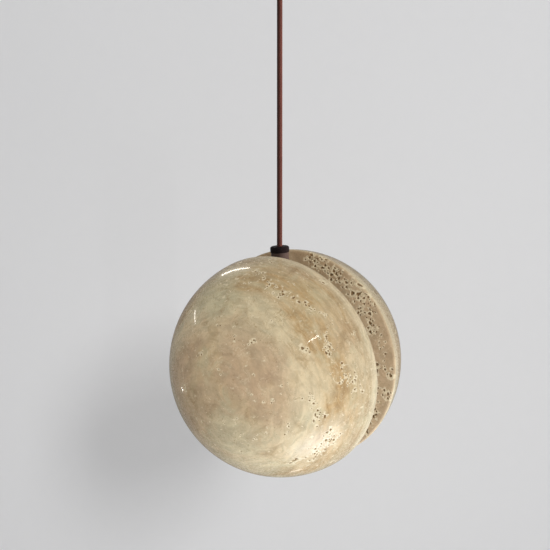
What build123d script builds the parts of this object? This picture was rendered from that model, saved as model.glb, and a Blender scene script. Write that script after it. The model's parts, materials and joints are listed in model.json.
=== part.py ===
from build123d import *
import math
import os

os.makedirs("parts", exist_ok=True)

# Split-sphere stone pendant lamp, in millimetres and degrees.
# The origin is on the ceiling above the cord, and the front half faces -Y.

# Stone halves
dome_radius = 100.0
face_inset = 8.0  # the flat face lies this far past the dome's own centre
gap = 35.0  # between the two flat faces
rim_round = 2.2
lean = 6.43  # the heavier front half pulls the lamp forward by this angle
front_wall = 55.0  # stone left behind each hollow
rear_wall = 15.0
front_lip = 6.0  # the front hollow's mouth is this much narrower than its floor
ledge_width = 12.0  # stone left under the rear plate, round the hollow

# Plates between stone and light core
plate_radius = 75.0
plate_thickness = 3.0
plate_hole_radius = 8.0
stone_screw_count = 6
drum_screw_count = 3
drum_screw_start = 30.0  # turns these screws clear of the neck and of the driver's ears

# Light core
drum_radius = 50.0
drum_wall = 12.0
strip_thickness = 0.6
strip_width = 20.0
chip_count = 33
chip_height = 1.0
chip_width = 3.0
chip_length = 5.0
chip_free_angle = 18.0  # no chips this far each side of the neck
diffuser_space = 5.0  # between the drum and the diffuser
diffuser_wall = 3.0
drum_wire_hole_radius = 3.4

# Neck and collar, with heights above the lamp's centre
cap_bottom = 100.0
cap_height = 5.5
cap_radius = 8.5
cap_round = 1.8
cap_edge = 0.5
cap_roof = 1.9  # thickness of the cap over the tube
bend_depth = 1.3  # the cord bends this far below the cap's top
neck_radius = 8.0
tube_radius = 6.0
tube_bore = 4.5
tube_tail = 7.0  # tube below the drum's inner land
ferrule_length = 5.0
neck_screw_drop = 5.0

# Fasteners
screw_radius = 2.0
screw_head_radius = 3.5
sunk_head_radius = 4.0
sunk_angle = 45.0  # slope of a sunk head
socket_radius = 1.4
socket_depth = 1.5
stone_screw_grip = 10.0  # thread in the anchor
anchor_radius = 3.2
anchor_length = 12.0
drum_screw_grip = 9.0
grub_radius = 1.5
grub_socket = 0.75  # radius and depth of its socket
hanger_nut_radius = 9.8
hanger_nut_height = 4.0
land_size = 24.0  # flat seat for each hanger nut
land_thickness = 4.0

# Driver in the rear hollow, with heights above the lamp's centre
driver_top = -18.0
driver_width = 66.0
driver_tall = 32.0
driver_deep = 22.0
driver_round = 2.0
ear_length = 8.0
ear_tall = 16.0
ear_thickness = 3.0
driver_screw_head = 2.5

# Wires and grommet
wire_radius = 0.9
wire_spread = 1.2  # each wire's distance from the middle
wire_bend = 5.0
led_wire_bend = 3.0
mains_wire_level = 2.5
led_wire_level = -2.5
mains_wire_reach = 10.0  # behind the rear plate
led_wire_reach = 5.5
grommet_bore = 5.0
grommet_lip = 1.5
grommet_lip_width = 2.0

# Cord and its movement
cord_diameter = 4.8
cord_run = 225.5  # between its two bends
swing = 20.0  # at the ceiling, each way
nod = 20.0  # at the collar, each way

# Ceiling fitting
canopy_radius = 50.0
canopy_height = 25.0
canopy_wall = 1.5
canopy_round = 6.0
bracket_length = 84.0
bracket_width = 24.0
bracket_thickness = 2.0
bracket_drop = 12.0
bracket_tab = 12.0
bracket_slope = 3.0
bracket_bend = 2.0
bracket_hole_inset = 6.0  # from the bracket's end
bracket_hole_radius = 2.25
nipple_radius = 5.0
nipple_bore = 3.6
nipple_grip = 7.0  # thread inside the gland
nipple_nut_radius = 8.0
nipple_nut_height = 3.0
gland_radius = 8.5
gland_length = 20.0
gland_round = 1.5
gland_ledge = 4.0
flange_radius = 6.6
flange_height = 2.5
barrel_radius = 5.2
barrel_proud = 1.5
bell_depth = 3.5
bush_bore = 2.4
stop_radius = 3.6
stop_height = 4.0
block_start = 9.0
block_length = 12.0
block_width = 16.0
block_height = 9.0
channel_radius = 1.3
terminal_screw_radius = 1.1
block_screw_radius = 1.25
block_screw_head_radius = 2.2
block_screw_head_height = 1.5
block_screw_inset = 2.0
earth_screw_x = 17.0
earth_head_height = 2.4
earth_screw_length = 4.0
supply_wire_spread = 2.4
supply_wire_bend = 3.0

# Clearances
thread_clear = 0.1
slip_clear = 0.2
run_clear = 0.3
seat_clear = 0.15

# Places that follow from the sizes above
cord_radius = cord_diameter / 2
gland_bottom = -canopy_height - gland_length
bush_bottom = gland_bottom - barrel_proud
upper_bend = bush_bottom + bell_depth
lower_bend = upper_bend - cord_run
cap_top = cap_bottom + cap_height
bend_height = cap_top - bend_depth
tube_top = cap_top - cap_roof
dome_centre = gap / 2 - face_inset
rim_radius = math.sqrt(dome_radius**2 - face_inset**2)
ledge_level = gap / 2 + plate_thickness
front_mouth_radius = dome_radius - front_wall - front_lip
rear_mouth_radius = plate_radius - ledge_width
sunk_head_height = (sunk_head_radius - screw_radius) / math.tan(math.radians(sunk_angle))
stone_screw_circle = plate_radius - ledge_width / 2
drum_screw_circle = drum_radius - drum_wall / 2
drum_bore = drum_radius - drum_wall
diffuser_radius = drum_radius + diffuser_space + diffuser_wall
outer_land = math.sqrt(drum_radius**2 - (land_size / 2) ** 2)
inner_land = math.sqrt(drum_bore**2 - (land_size / 2) ** 2) - land_thickness
neck_bottom = outer_land + hanger_nut_height

# The lamp hangs from the cord's lower bend, tipped forward by its lean
up = Vector(0, 0, 1).rotate(Axis.X, lean)
lamp = Plane(Vector(0, 0, lower_bend) - up * bend_height).rotated((lean, 0, 0))
front = Plane(lamp.origin, x_dir=lamp.x_dir, z_dir=-lamp.y_dir)
rear = Plane(lamp.origin, x_dir=-lamp.x_dir, z_dir=lamp.y_dir)
neck_axis = Axis(lamp.origin, lamp.z_dir)


def section(side):
    """Plane through one half: x is the distance from its axis, y the distance from the gap's middle."""
    return Plane(side.origin, x_dir=side.y_dir, z_dir=side.y_dir.cross(side.z_dir))


def room(height, angle):
    """Radius that clears the cord this far from its bend when it is tipped by this angle."""
    tip = math.radians(angle)
    return height * math.tan(tip) + cord_radius / math.cos(tip) + run_clear


def keep(piece, name):
    """Label a finished piece and write it as its own node."""
    piece.part.label = name
    export_step(piece.part, f"parts/{name}.step")


def stone_half(side, mouth_radius, wall):
    """Half of the stone ball: dome, rounded rim, seat for the plate, hollow and anchor holes."""
    floor_radius = dome_radius - wall
    floor_edge = dome_centre + math.sqrt(floor_radius**2 - mouth_radius**2)
    seat_radius = plate_radius + run_clear
    with BuildPart() as half:
        with BuildSketch(section(side)) as profile:
            with BuildLine():
                dome_top = (0, dome_centre + dome_radius)
                dome = RadiusArc(dome_top, (rim_radius, gap / 2), dome_radius)
                Polyline(
                    dome @ 1,
                    (seat_radius, gap / 2),
                    (seat_radius, ledge_level),
                    (mouth_radius, ledge_level),
                    (mouth_radius, floor_edge),
                )
                floor_top = (0, dome_centre + floor_radius)
                RadiusArc((mouth_radius, floor_edge), floor_top, -floor_radius)
                Line(floor_top, dome_top)
            make_face()
            fillet(profile.vertices().sort_by(Axis.X)[-1], rim_round)
        revolve(axis=Axis(side.origin, side.z_dir))
        with BuildSketch(side.offset(ledge_level)):
            with PolarLocations(stone_screw_circle, stone_screw_count):
                Circle(anchor_radius + slip_clear)
        extrude(amount=anchor_length + run_clear, mode=Mode.SUBTRACT)
    return half


def plate(side, centre_hole):
    """Disc let into a flat face, with sunk holes for the stone screws and for the drum screws."""
    with BuildPart() as disc:
        with BuildSketch(side.offset(gap / 2)):
            Circle(plate_radius)
            with PolarLocations(stone_screw_circle, stone_screw_count):
                Circle(screw_radius + slip_clear, mode=Mode.SUBTRACT)
            with PolarLocations(drum_screw_circle, drum_screw_count, start_angle=drum_screw_start):
                Circle(screw_radius + slip_clear, mode=Mode.SUBTRACT)
            if centre_hole:
                Circle(plate_hole_radius, mode=Mode.SUBTRACT)
        extrude(amount=plate_thickness)
        with BuildSketch(side.offset(gap / 2)):
            with PolarLocations(stone_screw_circle, stone_screw_count):
                Circle(sunk_head_radius + slip_clear)
        extrude(amount=sunk_head_height, taper=sunk_angle, mode=Mode.SUBTRACT)
        with BuildSketch(-side.offset(ledge_level)):
            with PolarLocations(drum_screw_circle, drum_screw_count, start_angle=-drum_screw_start):
                Circle(sunk_head_radius + slip_clear)
        extrude(amount=sunk_head_height, taper=sunk_angle, mode=Mode.SUBTRACT)
    return disc


def sunk_screws(head_plane, circle, count, start_angle, length):
    """Screws with their heads level with a plane and their shanks along its normal."""
    with BuildPart() as screws:
        with BuildSketch(head_plane):
            with PolarLocations(circle, count, start_angle=start_angle):
                Circle(sunk_head_radius)
        extrude(amount=sunk_head_height, taper=sunk_angle)
        with BuildSketch(head_plane):
            with PolarLocations(circle, count, start_angle=start_angle):
                Circle(screw_radius)
        extrude(amount=length)
        with BuildSketch(head_plane):
            with PolarLocations(circle, count, start_angle=start_angle):
                RegularPolygon(socket_radius, 6)
        extrude(amount=socket_depth, mode=Mode.SUBTRACT)
    return screws


def anchors(side):
    """Threaded sleeves glued into the stone."""
    with BuildPart() as sleeves:
        with BuildSketch(side.offset(ledge_level)):
            with PolarLocations(stone_screw_circle, stone_screw_count):
                Circle(anchor_radius)
                Circle(screw_radius + thread_clear, mode=Mode.SUBTRACT)
        extrude(amount=anchor_length)
    return sleeves


def hex_nuts(levels, radius, height, bore):
    """Hexagon nuts, one standing on each level plane."""
    with BuildPart() as nuts:
        with BuildSketch(*levels):
            RegularPolygon(radius, 6)
            Circle(bore, mode=Mode.SUBTRACT)
        extrude(amount=height)
    return nuts


def wires(plane, routes, bend):
    """Insulated wires along straight runs with rounded corners."""
    with BuildPart() as bundle:
        for points in routes:
            with BuildLine(plane) as route:
                FilletPolyline(*points, radius=bend)
            with BuildSketch(Plane(route.line @ 0, z_dir=route.line % 0)):
                Circle(wire_radius)
            sweep()
    return bundle


# Both stone halves with their plates, screws and anchors.
# The drum screws go in from behind each plate, where their pattern is mirrored.
stone_screw_length = plate_thickness + stone_screw_grip
drum_screw_length = plate_thickness + drum_screw_grip
halves = (
    ("front", front, front_mouth_radius, front_wall),
    ("rear", rear, rear_mouth_radius, rear_wall),
)
for half_name, side, mouth_radius, wall in halves:
    stone_screws = sunk_screws(
        side.offset(gap / 2), stone_screw_circle, stone_screw_count, 0, stone_screw_length
    )
    drum_screws = sunk_screws(
        -side.offset(ledge_level), drum_screw_circle, drum_screw_count, -drum_screw_start, drum_screw_length
    )
    keep(stone_half(side, mouth_radius, wall), f"{half_name}_stone")
    keep(anchors(side), f"{half_name}_anchors")
    keep(stone_screws, f"{half_name}_stone_screws")
    keep(drum_screws, f"{half_name}_drum_screws")

front_plate = plate(front, centre_hole=False)
keep(front_plate, "front_plate")

driver_middle = driver_top - driver_tall / 2
ear_middle = driver_width / 2 + ear_length / 2
with BuildPart() as rear_plate:
    add(plate(rear, centre_hole=True).part)
    with BuildSketch(rear.offset(gap / 2)):
        with Locations((-ear_middle, driver_middle), (ear_middle, driver_middle)):
            Circle(screw_radius + thread_clear)
    extrude(amount=plate_thickness, mode=Mode.SUBTRACT)
keep(rear_plate, "rear_plate")

# Light core
with BuildPart() as led_drum:
    with BuildSketch(front):
        Circle(drum_radius)
        Circle(drum_bore, mode=Mode.SUBTRACT)
    extrude(amount=gap / 2, both=True)
    with BuildSketch(lamp.offset(inner_land)):
        Rectangle(land_size, land_size)
    extrude(amount=drum_bore - inner_land + land_thickness / 2)
    with BuildSketch(lamp.offset(outer_land)):
        Circle(land_size / 2)
    extrude(amount=drum_radius, mode=Mode.SUBTRACT)
    with BuildSketch(lamp.offset(inner_land)):
        Circle(tube_radius + thread_clear)
    extrude(amount=drum_radius, mode=Mode.SUBTRACT)
    with BuildSketch(lamp):
        Circle(drum_wire_hole_radius)
    extrude(amount=-drum_radius - drum_wall, mode=Mode.SUBTRACT)
    for side in (front, rear):
        with BuildSketch(side.offset(gap / 2)):
            with PolarLocations(drum_screw_circle, drum_screw_count, start_angle=drum_screw_start):
                Circle(screw_radius + thread_clear)
        extrude(amount=-(drum_screw_grip + run_clear), mode=Mode.SUBTRACT)
keep(led_drum, "led_drum")

strip_bore = drum_radius + thread_clear
strip_radius = strip_bore + strip_thickness
with BuildPart() as led_strip:
    with BuildSketch(front):
        Circle(strip_radius)
        Circle(strip_bore, mode=Mode.SUBTRACT)
    extrude(amount=strip_width / 2, both=True)
    with BuildSketch(lamp):
        Circle(land_size / 2)
    extrude(amount=drum_radius + drum_wall, mode=Mode.SUBTRACT)
keep(led_strip, "led_strip")

chip_circle = strip_radius + thread_clear + chip_height / 2
with BuildPart() as led_chips:
    with BuildSketch(front):
        with PolarLocations(
            chip_circle,
            chip_count,
            start_angle=90 + chip_free_angle,
            angular_range=360 - 2 * chip_free_angle,
            endpoint=True,
        ):
            Rectangle(chip_height, chip_width)
    extrude(amount=chip_length / 2, both=True)
keep(led_chips, "led_chips")

with BuildPart() as diffuser_ring:
    with BuildSketch(front):
        Circle(diffuser_radius)
        Circle(diffuser_radius - diffuser_wall, mode=Mode.SUBTRACT)
    extrude(amount=gap / 2 - seat_clear, both=True)
    with BuildSketch(lamp):
        Circle(neck_radius + run_clear)
    extrude(amount=diffuser_radius + diffuser_wall, mode=Mode.SUBTRACT)
keep(diffuser_ring, "diffuser_ring")

# Neck, collar and what hangs the lamp on the cord
with BuildPart() as hanger_tube:
    with BuildSketch(lamp.offset(inner_land - tube_tail)):
        Circle(tube_radius)
        Circle(tube_bore, mode=Mode.SUBTRACT)
    extrude(amount=tube_top - thread_clear - inner_land + tube_tail)
keep(hanger_tube, "hanger_tube")

hanger_nut_levels = (lamp.offset(inner_land - hanger_nut_height), lamp.offset(outer_land))
hanger_nuts = hex_nuts(
    hanger_nut_levels,
    hanger_nut_radius,
    hanger_nut_height,
    bore=tube_radius + thread_clear,
)
keep(hanger_nuts, "hanger_nuts")

neck_screw_plane = Plane(
    lamp.origin + up * (cap_bottom - neck_screw_drop),
    x_dir=rear.x_dir,
    z_dir=rear.z_dir,
)
with BuildPart() as neck_sleeve:
    with BuildSketch(lamp.offset(neck_bottom)):
        Circle(neck_radius)
        Circle(tube_radius + slip_clear, mode=Mode.SUBTRACT)
    extrude(amount=cap_bottom - neck_bottom)
    with BuildSketch(neck_screw_plane):
        Circle(grub_radius + thread_clear)
    extrude(amount=neck_radius + run_clear, mode=Mode.SUBTRACT)
keep(neck_sleeve, "neck_sleeve")

with BuildPart() as neck_screw:
    with BuildSketch(neck_screw_plane.offset(tube_radius + thread_clear)):
        Circle(grub_radius)
    extrude(amount=neck_radius - tube_radius - run_clear)
    with BuildSketch(neck_screw_plane.offset(neck_radius - slip_clear)):
        RegularPolygon(grub_socket, 6)
    extrude(amount=-grub_socket, mode=Mode.SUBTRACT)
keep(neck_screw, "neck_screw")

with BuildPart() as collar_cap:
    with BuildSketch(front) as cap_profile:
        with BuildLine():
            Polyline(
                (tube_radius + thread_clear, cap_bottom),
                (cap_radius, cap_bottom),
                (cap_radius, cap_top),
                (room(bend_depth, nod), cap_top),
                (room(0, nod), bend_height),
                (room(0, nod), tube_top),
                (tube_radius + thread_clear, tube_top),
                close=True,
            )
        make_face()
        outer_corners = cap_profile.vertices().group_by(Axis.X)[-1].sort_by(Axis.Y)
        fillet(outer_corners[-1], cap_round)
        fillet(cap_profile.vertices().group_by(Axis.X)[-1].sort_by(Axis.Y)[0], cap_edge)
    revolve(axis=neck_axis)
keep(collar_cap, "collar_cap")

ferrule_top = bend_height - cord_radius - run_clear
with BuildPart() as cord_ferrule:
    with BuildSketch(lamp.offset(ferrule_top - ferrule_length)):
        Circle(tube_bore - slip_clear)
        Circle(wire_spread + wire_radius + run_clear, mode=Mode.SUBTRACT)
    extrude(amount=ferrule_length)
keep(cord_ferrule, "cord_ferrule")

# Driver, grommet and wires inside the lamp
with BuildPart() as led_driver:
    with BuildSketch(rear.offset(ledge_level)):
        with Locations((0, driver_middle)):
            Rectangle(driver_width, driver_tall)
    extrude(amount=driver_deep)
    case_edges = led_driver.edges().filter_by(Axis(rear.origin, rear.z_dir))
    fillet(case_edges, driver_round)
    with BuildSketch(rear.offset(ledge_level)):
        with Locations((0, driver_middle)):
            Rectangle(driver_width + 2 * ear_length, ear_tall)
        with Locations((-ear_middle, driver_middle), (ear_middle, driver_middle)):
            Circle(screw_radius + slip_clear, mode=Mode.SUBTRACT)
    extrude(amount=ear_thickness)
keep(led_driver, "led_driver")

with BuildPart() as driver_screws:
    ear_spots = ((-ear_middle, driver_middle), (ear_middle, driver_middle))
    with BuildSketch(rear.offset(ledge_level + ear_thickness)):
        with Locations(*ear_spots):
            Circle(screw_head_radius)
    extrude(amount=driver_screw_head)
    with BuildSketch(rear.offset(ledge_level + ear_thickness)):
        with Locations(*ear_spots):
            Circle(screw_radius)
    extrude(amount=-(ear_thickness + plate_thickness - run_clear))
keep(driver_screws, "driver_screws")

with BuildPart() as wire_grommet:
    with BuildSketch(section(rear)):
        with BuildLine():
            grommet_neck = plate_hole_radius - seat_clear
            lip_radius = plate_hole_radius + grommet_lip_width
            Polyline(
                (grommet_bore, gap / 2 - grommet_lip),
                (lip_radius, gap / 2 - grommet_lip),
                (lip_radius, gap / 2),
                (grommet_neck, gap / 2),
                (grommet_neck, ledge_level),
                (lip_radius, ledge_level),
                (lip_radius, ledge_level + grommet_lip),
                (grommet_bore, ledge_level + grommet_lip),
                close=True,
            )
        make_face()
    revolve(axis=Axis(rear.origin, rear.z_dir))
keep(wire_grommet, "wire_grommet")

mains_routes = [
    (
        (x, 0, ferrule_top - run_clear),
        (x, 0, mains_wire_level),
        (x, ledge_level + mains_wire_reach, mains_wire_level),
        (x, ledge_level + mains_wire_reach, driver_top),
    )
    for x in (-wire_spread, wire_spread)
]
mains_wires = wires(lamp, mains_routes, wire_bend)
keep(mains_wires, "mains_wires")

led_routes = [
    (
        (x, ledge_level + led_wire_reach, driver_top),
        (x, ledge_level + led_wire_reach, led_wire_level),
        (x, 0, led_wire_level),
        (x, 0, -drum_radius),
    )
    for x in (-wire_spread, wire_spread)
]
led_wires = wires(lamp, led_routes, led_wire_bend)
keep(led_wires, "led_wires")

# The hanging cord, with a round end at each bend
with BuildPart() as cord:
    with BuildSketch(Plane.XZ):
        with BuildLine():
            Line((0, lower_bend - cord_radius), (0, upper_bend + cord_radius))
            RadiusArc((0, upper_bend + cord_radius), (cord_radius, upper_bend), cord_radius)
            Line((cord_radius, upper_bend), (cord_radius, lower_bend))
            RadiusArc((cord_radius, lower_bend), (0, lower_bend - cord_radius), cord_radius)
        make_face()
    revolve(axis=Axis.Z)
keep(cord, "cord")

# Ceiling fitting
bridge_end = bracket_length / 2 - bracket_tab - bracket_slope
bracket_hole_spacing = bracket_length - 2 * bracket_hole_inset
with BuildPart() as ceiling_bracket:
    with BuildSketch(Plane.XZ):
        with BuildLine():
            FilletPolyline(
                (-bracket_length / 2, 0),
                (-bracket_length / 2 + bracket_tab, 0),
                (-bridge_end, -bracket_drop),
                (bridge_end, -bracket_drop),
                (bracket_length / 2 - bracket_tab, 0),
                (bracket_length / 2, 0),
                radius=bracket_bend,
            )
            offset(amount=bracket_thickness, side=Side.RIGHT)
        make_face()
    extrude(amount=bracket_width / 2, both=True)
    with Locations((-bracket_hole_spacing / 2, 0), (bracket_hole_spacing / 2, 0)):
        Hole(bracket_hole_radius)
    Hole(nipple_radius + thread_clear)
    with Locations((-earth_screw_x, 0)):
        Hole(screw_radius + thread_clear)
    block_middle = block_start + block_length / 2
    block_screw_y = block_width / 2 - block_screw_inset
    with Locations((block_middle, -block_screw_y), (block_middle, block_screw_y)):
        Hole(block_screw_radius + thread_clear)
keep(ceiling_bracket, "ceiling_bracket")

bridge_under = -bracket_drop - bracket_thickness
nipple_top = -bracket_drop + nipple_nut_height
nipple_bottom = -canopy_height - nipple_grip
with BuildPart() as nipple:
    with BuildSketch(Plane.XY.offset(nipple_bottom)):
        Circle(nipple_radius)
        Circle(nipple_bore, mode=Mode.SUBTRACT)
    extrude(amount=nipple_top - nipple_bottom)
keep(nipple, "nipple")

nipple_nut_levels = (
    Plane.XY.offset(-bracket_drop),
    Plane.XY.offset(bridge_under - nipple_nut_height),
)
nipple_nuts = hex_nuts(
    nipple_nut_levels,
    nipple_nut_radius,
    nipple_nut_height,
    bore=nipple_radius + thread_clear,
)
keep(nipple_nuts, "nipple_nuts")

with BuildPart() as canopy_cup:
    with BuildSketch(Plane.XY):
        Circle(canopy_radius)
    extrude(amount=-canopy_height)
    fillet(canopy_cup.edges().sort_by(Axis.Z)[0], canopy_round)
    offset(amount=-canopy_wall, openings=canopy_cup.faces().sort_by(Axis.Z)[-1])
    Hole(nipple_radius + slip_clear)
keep(canopy_cup, "canopy_cup")

bush_seat = gland_bottom + gland_ledge
with BuildPart() as gland_body:
    with BuildSketch(Plane.XZ) as gland_profile:
        with BuildLine():
            Polyline(
                (nipple_radius + thread_clear, -canopy_height),
                (gland_radius, -canopy_height),
                (gland_radius, gland_bottom),
                (barrel_radius + run_clear, gland_bottom),
                (barrel_radius + run_clear, bush_seat),
                (flange_radius + run_clear, bush_seat),
                (flange_radius + run_clear, nipple_bottom),
                (nipple_radius + thread_clear, nipple_bottom),
                close=True,
            )
        make_face()
        fillet(gland_profile.vertices().group_by(Axis.X)[-1].sort_by(Axis.Y)[0], gland_round)
    revolve(axis=Axis.Z)
keep(gland_body, "gland_body")

flange_bottom = bush_seat + seat_clear
flange_top = flange_bottom + flange_height
with BuildPart() as swivel_bush:
    with BuildSketch(Plane.XZ):
        with BuildLine():
            cavity_top = upper_bend + cord_radius + run_clear
            Polyline(
                (bush_bore, flange_top),
                (flange_radius, flange_top),
                (flange_radius, flange_bottom),
                (barrel_radius, flange_bottom),
                (barrel_radius, bush_bottom),
                (room(bell_depth, swing), bush_bottom),
                (room(0, swing), upper_bend),
                (room(0, swing), cavity_top),
                (bush_bore, cavity_top),
                close=True,
            )
        make_face()
    revolve(axis=Axis.Z)
keep(swivel_bush, "swivel_bush")

with BuildPart() as cord_stop:
    with BuildSketch(Plane.XY.offset(flange_top)):
        Circle(stop_radius)
        Circle(bush_bore, mode=Mode.SUBTRACT)
    extrude(amount=stop_height)
keep(cord_stop, "cord_stop")

block_top = -bracket_drop + block_height
channel_level = -bracket_drop + block_height / 2
with BuildPart() as terminal_block:
    with BuildSketch(Plane.XY.offset(-bracket_drop)):
        with Locations((block_middle, 0)):
            Rectangle(block_length, block_width)
        with Locations((block_middle, -block_screw_y), (block_middle, block_screw_y)):
            Circle(block_screw_radius + slip_clear, mode=Mode.SUBTRACT)
    extrude(amount=block_height)
    with BuildSketch(Plane.YZ.offset(block_start)):
        with Locations((-supply_wire_spread, channel_level), (supply_wire_spread, channel_level)):
            Circle(channel_radius)
    extrude(amount=block_length, mode=Mode.SUBTRACT)
    with BuildSketch(Plane.XY.offset(block_top)):
        with Locations((block_middle, 0)):
            with GridLocations(block_length / 2, 2 * supply_wire_spread, 2, 2):
                Circle(terminal_screw_radius + thread_clear)
    extrude(amount=channel_level - block_top, mode=Mode.SUBTRACT)
keep(terminal_block, "terminal_block")

with BuildPart() as terminal_screws:
    with BuildSketch(Plane.XY.offset(block_top)):
        with Locations((block_middle, 0)):
            with GridLocations(block_length / 2, 2 * supply_wire_spread, 2, 2):
                Circle(terminal_screw_radius)
    extrude(amount=channel_level + wire_radius + thread_clear - block_top)
keep(terminal_screws, "terminal_screws")

with BuildPart() as block_screws:
    block_spots = ((block_middle, -block_screw_y), (block_middle, block_screw_y))
    with BuildSketch(Plane.XY.offset(block_top)):
        with Locations(*block_spots):
            Circle(block_screw_head_radius)
    extrude(amount=block_screw_head_height)
    with BuildSketch(Plane.XY.offset(block_top)):
        with Locations(*block_spots):
            Circle(block_screw_radius)
    extrude(amount=bridge_under - block_top)
keep(block_screws, "block_screws")

with BuildPart() as earth_screw:
    with BuildSketch(Plane.XY.offset(-bracket_drop)):
        with Locations((-earth_screw_x, 0)):
            Circle(screw_head_radius)
    extrude(amount=earth_head_height)
    with BuildSketch(Plane.XY.offset(-bracket_drop)):
        with Locations((-earth_screw_x, 0)):
            Circle(screw_radius)
    extrude(amount=-earth_screw_length)
keep(earth_screw, "earth_screw")

supply_routes = [
    ((0, y, nipple_bottom), (0, y, channel_level), (block_middle, y, channel_level))
    for y in (-supply_wire_spread, supply_wire_spread)
]
supply_wires = wires(Plane.XY, supply_routes, supply_wire_bend)
keep(supply_wires, "supply_wires")
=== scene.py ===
import json
import math
from typing import NamedTuple

import bpy
import numpy as np
from bpy.props import FloatProperty, FloatVectorProperty, IntProperty, PointerProperty
from mathutils import Matrix, Vector
from mathutils.geometry import delaunay_2d_cdt


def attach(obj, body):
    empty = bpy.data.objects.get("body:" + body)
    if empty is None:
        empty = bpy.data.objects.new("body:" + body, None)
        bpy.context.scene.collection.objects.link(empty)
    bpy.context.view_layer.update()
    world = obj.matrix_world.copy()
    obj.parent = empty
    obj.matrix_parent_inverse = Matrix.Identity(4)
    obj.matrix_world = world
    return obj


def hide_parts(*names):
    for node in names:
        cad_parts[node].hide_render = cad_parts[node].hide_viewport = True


bl_info = {
    "name": "Split Stone Pendant Lamp",
    "version": (1, 0, 0),
    "blender": (4, 5, 0),
    "location": "3D View > Sidebar > Pendant Lamp",
    "description": "Stone halves, braided cord, metal finishes and studio for a split-ball pendant lamp",
    "category": "Object",
}

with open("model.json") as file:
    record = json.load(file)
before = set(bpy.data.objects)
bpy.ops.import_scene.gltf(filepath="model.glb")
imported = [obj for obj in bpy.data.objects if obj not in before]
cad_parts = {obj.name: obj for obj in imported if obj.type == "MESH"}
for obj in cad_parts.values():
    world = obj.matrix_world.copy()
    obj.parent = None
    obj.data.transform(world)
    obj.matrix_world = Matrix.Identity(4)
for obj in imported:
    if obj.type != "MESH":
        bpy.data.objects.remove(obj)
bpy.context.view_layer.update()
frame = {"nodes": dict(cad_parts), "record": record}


def tone(red, green, blue):
    """A screen colour, 0 to 255, as the linear colour that shaders take."""
    values = []
    for part in (red, green, blue):
        share = part / 255
        values.append(share / 12.92 if share <= 0.04045 else ((share + 0.055) / 1.055) ** 2.4)
    return tuple(values)


def length(name, description, default):
    """A property in metres."""
    return FloatProperty(name=name, description=description, default=default, unit="LENGTH", precision=5)


def colour(name, description, default):
    """A property that holds a linear colour."""
    return FloatVectorProperty(
        name=name, description=description, default=default, subtype="COLOR", size=3, min=0.0, max=1.0
    )


class StoneSettings(bpy.types.PropertyGroup):
    """Sizes, pores and colours of the stone halves"""

    centre: FloatVectorProperty(
        name="Lamp centre", description="Middle of the gap between the halves",
        default=(0.0, 0.011669, -0.372045), subtype="TRANSLATION", precision=6,
    )
    lean: FloatProperty(
        name="Lean", description="How far the lamp tips towards its front half",
        default=math.radians(6.43), subtype="ANGLE",
    )
    dome_radius: length("Dome radius", "Radius of each half's dome", 0.100)
    face_inset: length("Face inset", "Flat face past the dome's own centre", 0.008)
    gap: length("Gap", "Between the two flat faces", 0.035)
    rim_round: length("Rim rounding", "Rounded edge between dome and flat face", 0.0022)
    seat_radius: length("Seat radius", "Edge of the recess for the plate", 0.0753)
    ledge_level: length("Ledge level", "Floor of the recess, from the gap's middle", 0.0205)
    front_mouth: length("Front hollow", "Radius of the front half's hollow", 0.039)
    rear_mouth: length("Rear hollow", "Radius of the rear half's hollow", 0.063)
    front_wall: length("Front wall", "Stone behind the front hollow", 0.055)
    rear_wall: length("Rear wall", "Stone behind the rear hollow", 0.015)
    spacing: length("Mesh spacing", "Distance between plain surface points", 0.0013)
    seed: IntProperty(name="Pore seed", description="Changes the scattered pores", default=7)
    nests: IntProperty(name="Pore nests", description="Nests scattered over each half", default=46)
    singles: IntProperty(name="Lone pores", description="Small lone pores on each half", default=170)
    pale: colour("Pale stone", "Cream layers", tone(219, 200, 163))
    tan: colour("Tan stone", "Warm layers", tone(187, 154, 106))
    rose: colour("Rose stone", "Brownish pink clouds", tone(193, 165, 133))
    umber: colour("Umber streaks", "Thin dark streaks along the layers", tone(156, 127, 86))
    moss: colour("Grey cream", "Cooler, slightly green cream clouds", tone(203, 193, 158))
    fleck: colour("Flecks", "Cream mineral round the pores", tone(233, 217, 182))
    pore: colour("Pore", "Inside of the pores", tone(122, 92, 56))


class CordSettings(bpy.types.PropertyGroup):
    """Sizes and colours of the cord"""

    low: length("Lower end", "Height where the cord bends in the collar", -0.2685)
    high: length("Upper end", "Height where the cord bends in the ceiling bush", -0.0430)
    diameter: length("Diameter", "Outside of the braid", 0.0048)
    relief: length("Relief", "Depth between the strands of the braid", 0.00016)
    strands: IntProperty(name="Strands", description="Strands running each way round", default=8)
    lay: length("Lay", "Length along the cord of one strand crossing", 0.0021)
    top: colour("Strand", "Raised threads", tone(67, 38, 32))
    # Painted shade: the threads between the strands get a darker colour than the raised ones
    valley_shade: colour("Valley", "Threads between the strands", tone(26, 12, 9))


class MetalSettings(bpy.types.PropertyGroup):
    """Colours of the metal pieces"""

    bronze: colour("Dark bronze", "Collar cap and ceiling fitting", tone(22, 15, 15))
    neck: colour("Neck", "Neck sleeve under the cap", tone(70, 56, 51))
    aluminium: colour("Aluminium", "Plates and drum", tone(205, 205, 207))
    steel: colour("Steel", "Screws, nuts and bracket", tone(184, 185, 188))
    brass: colour("Brass", "Anchors, bush and ferrule", tone(214, 178, 104))


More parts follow.
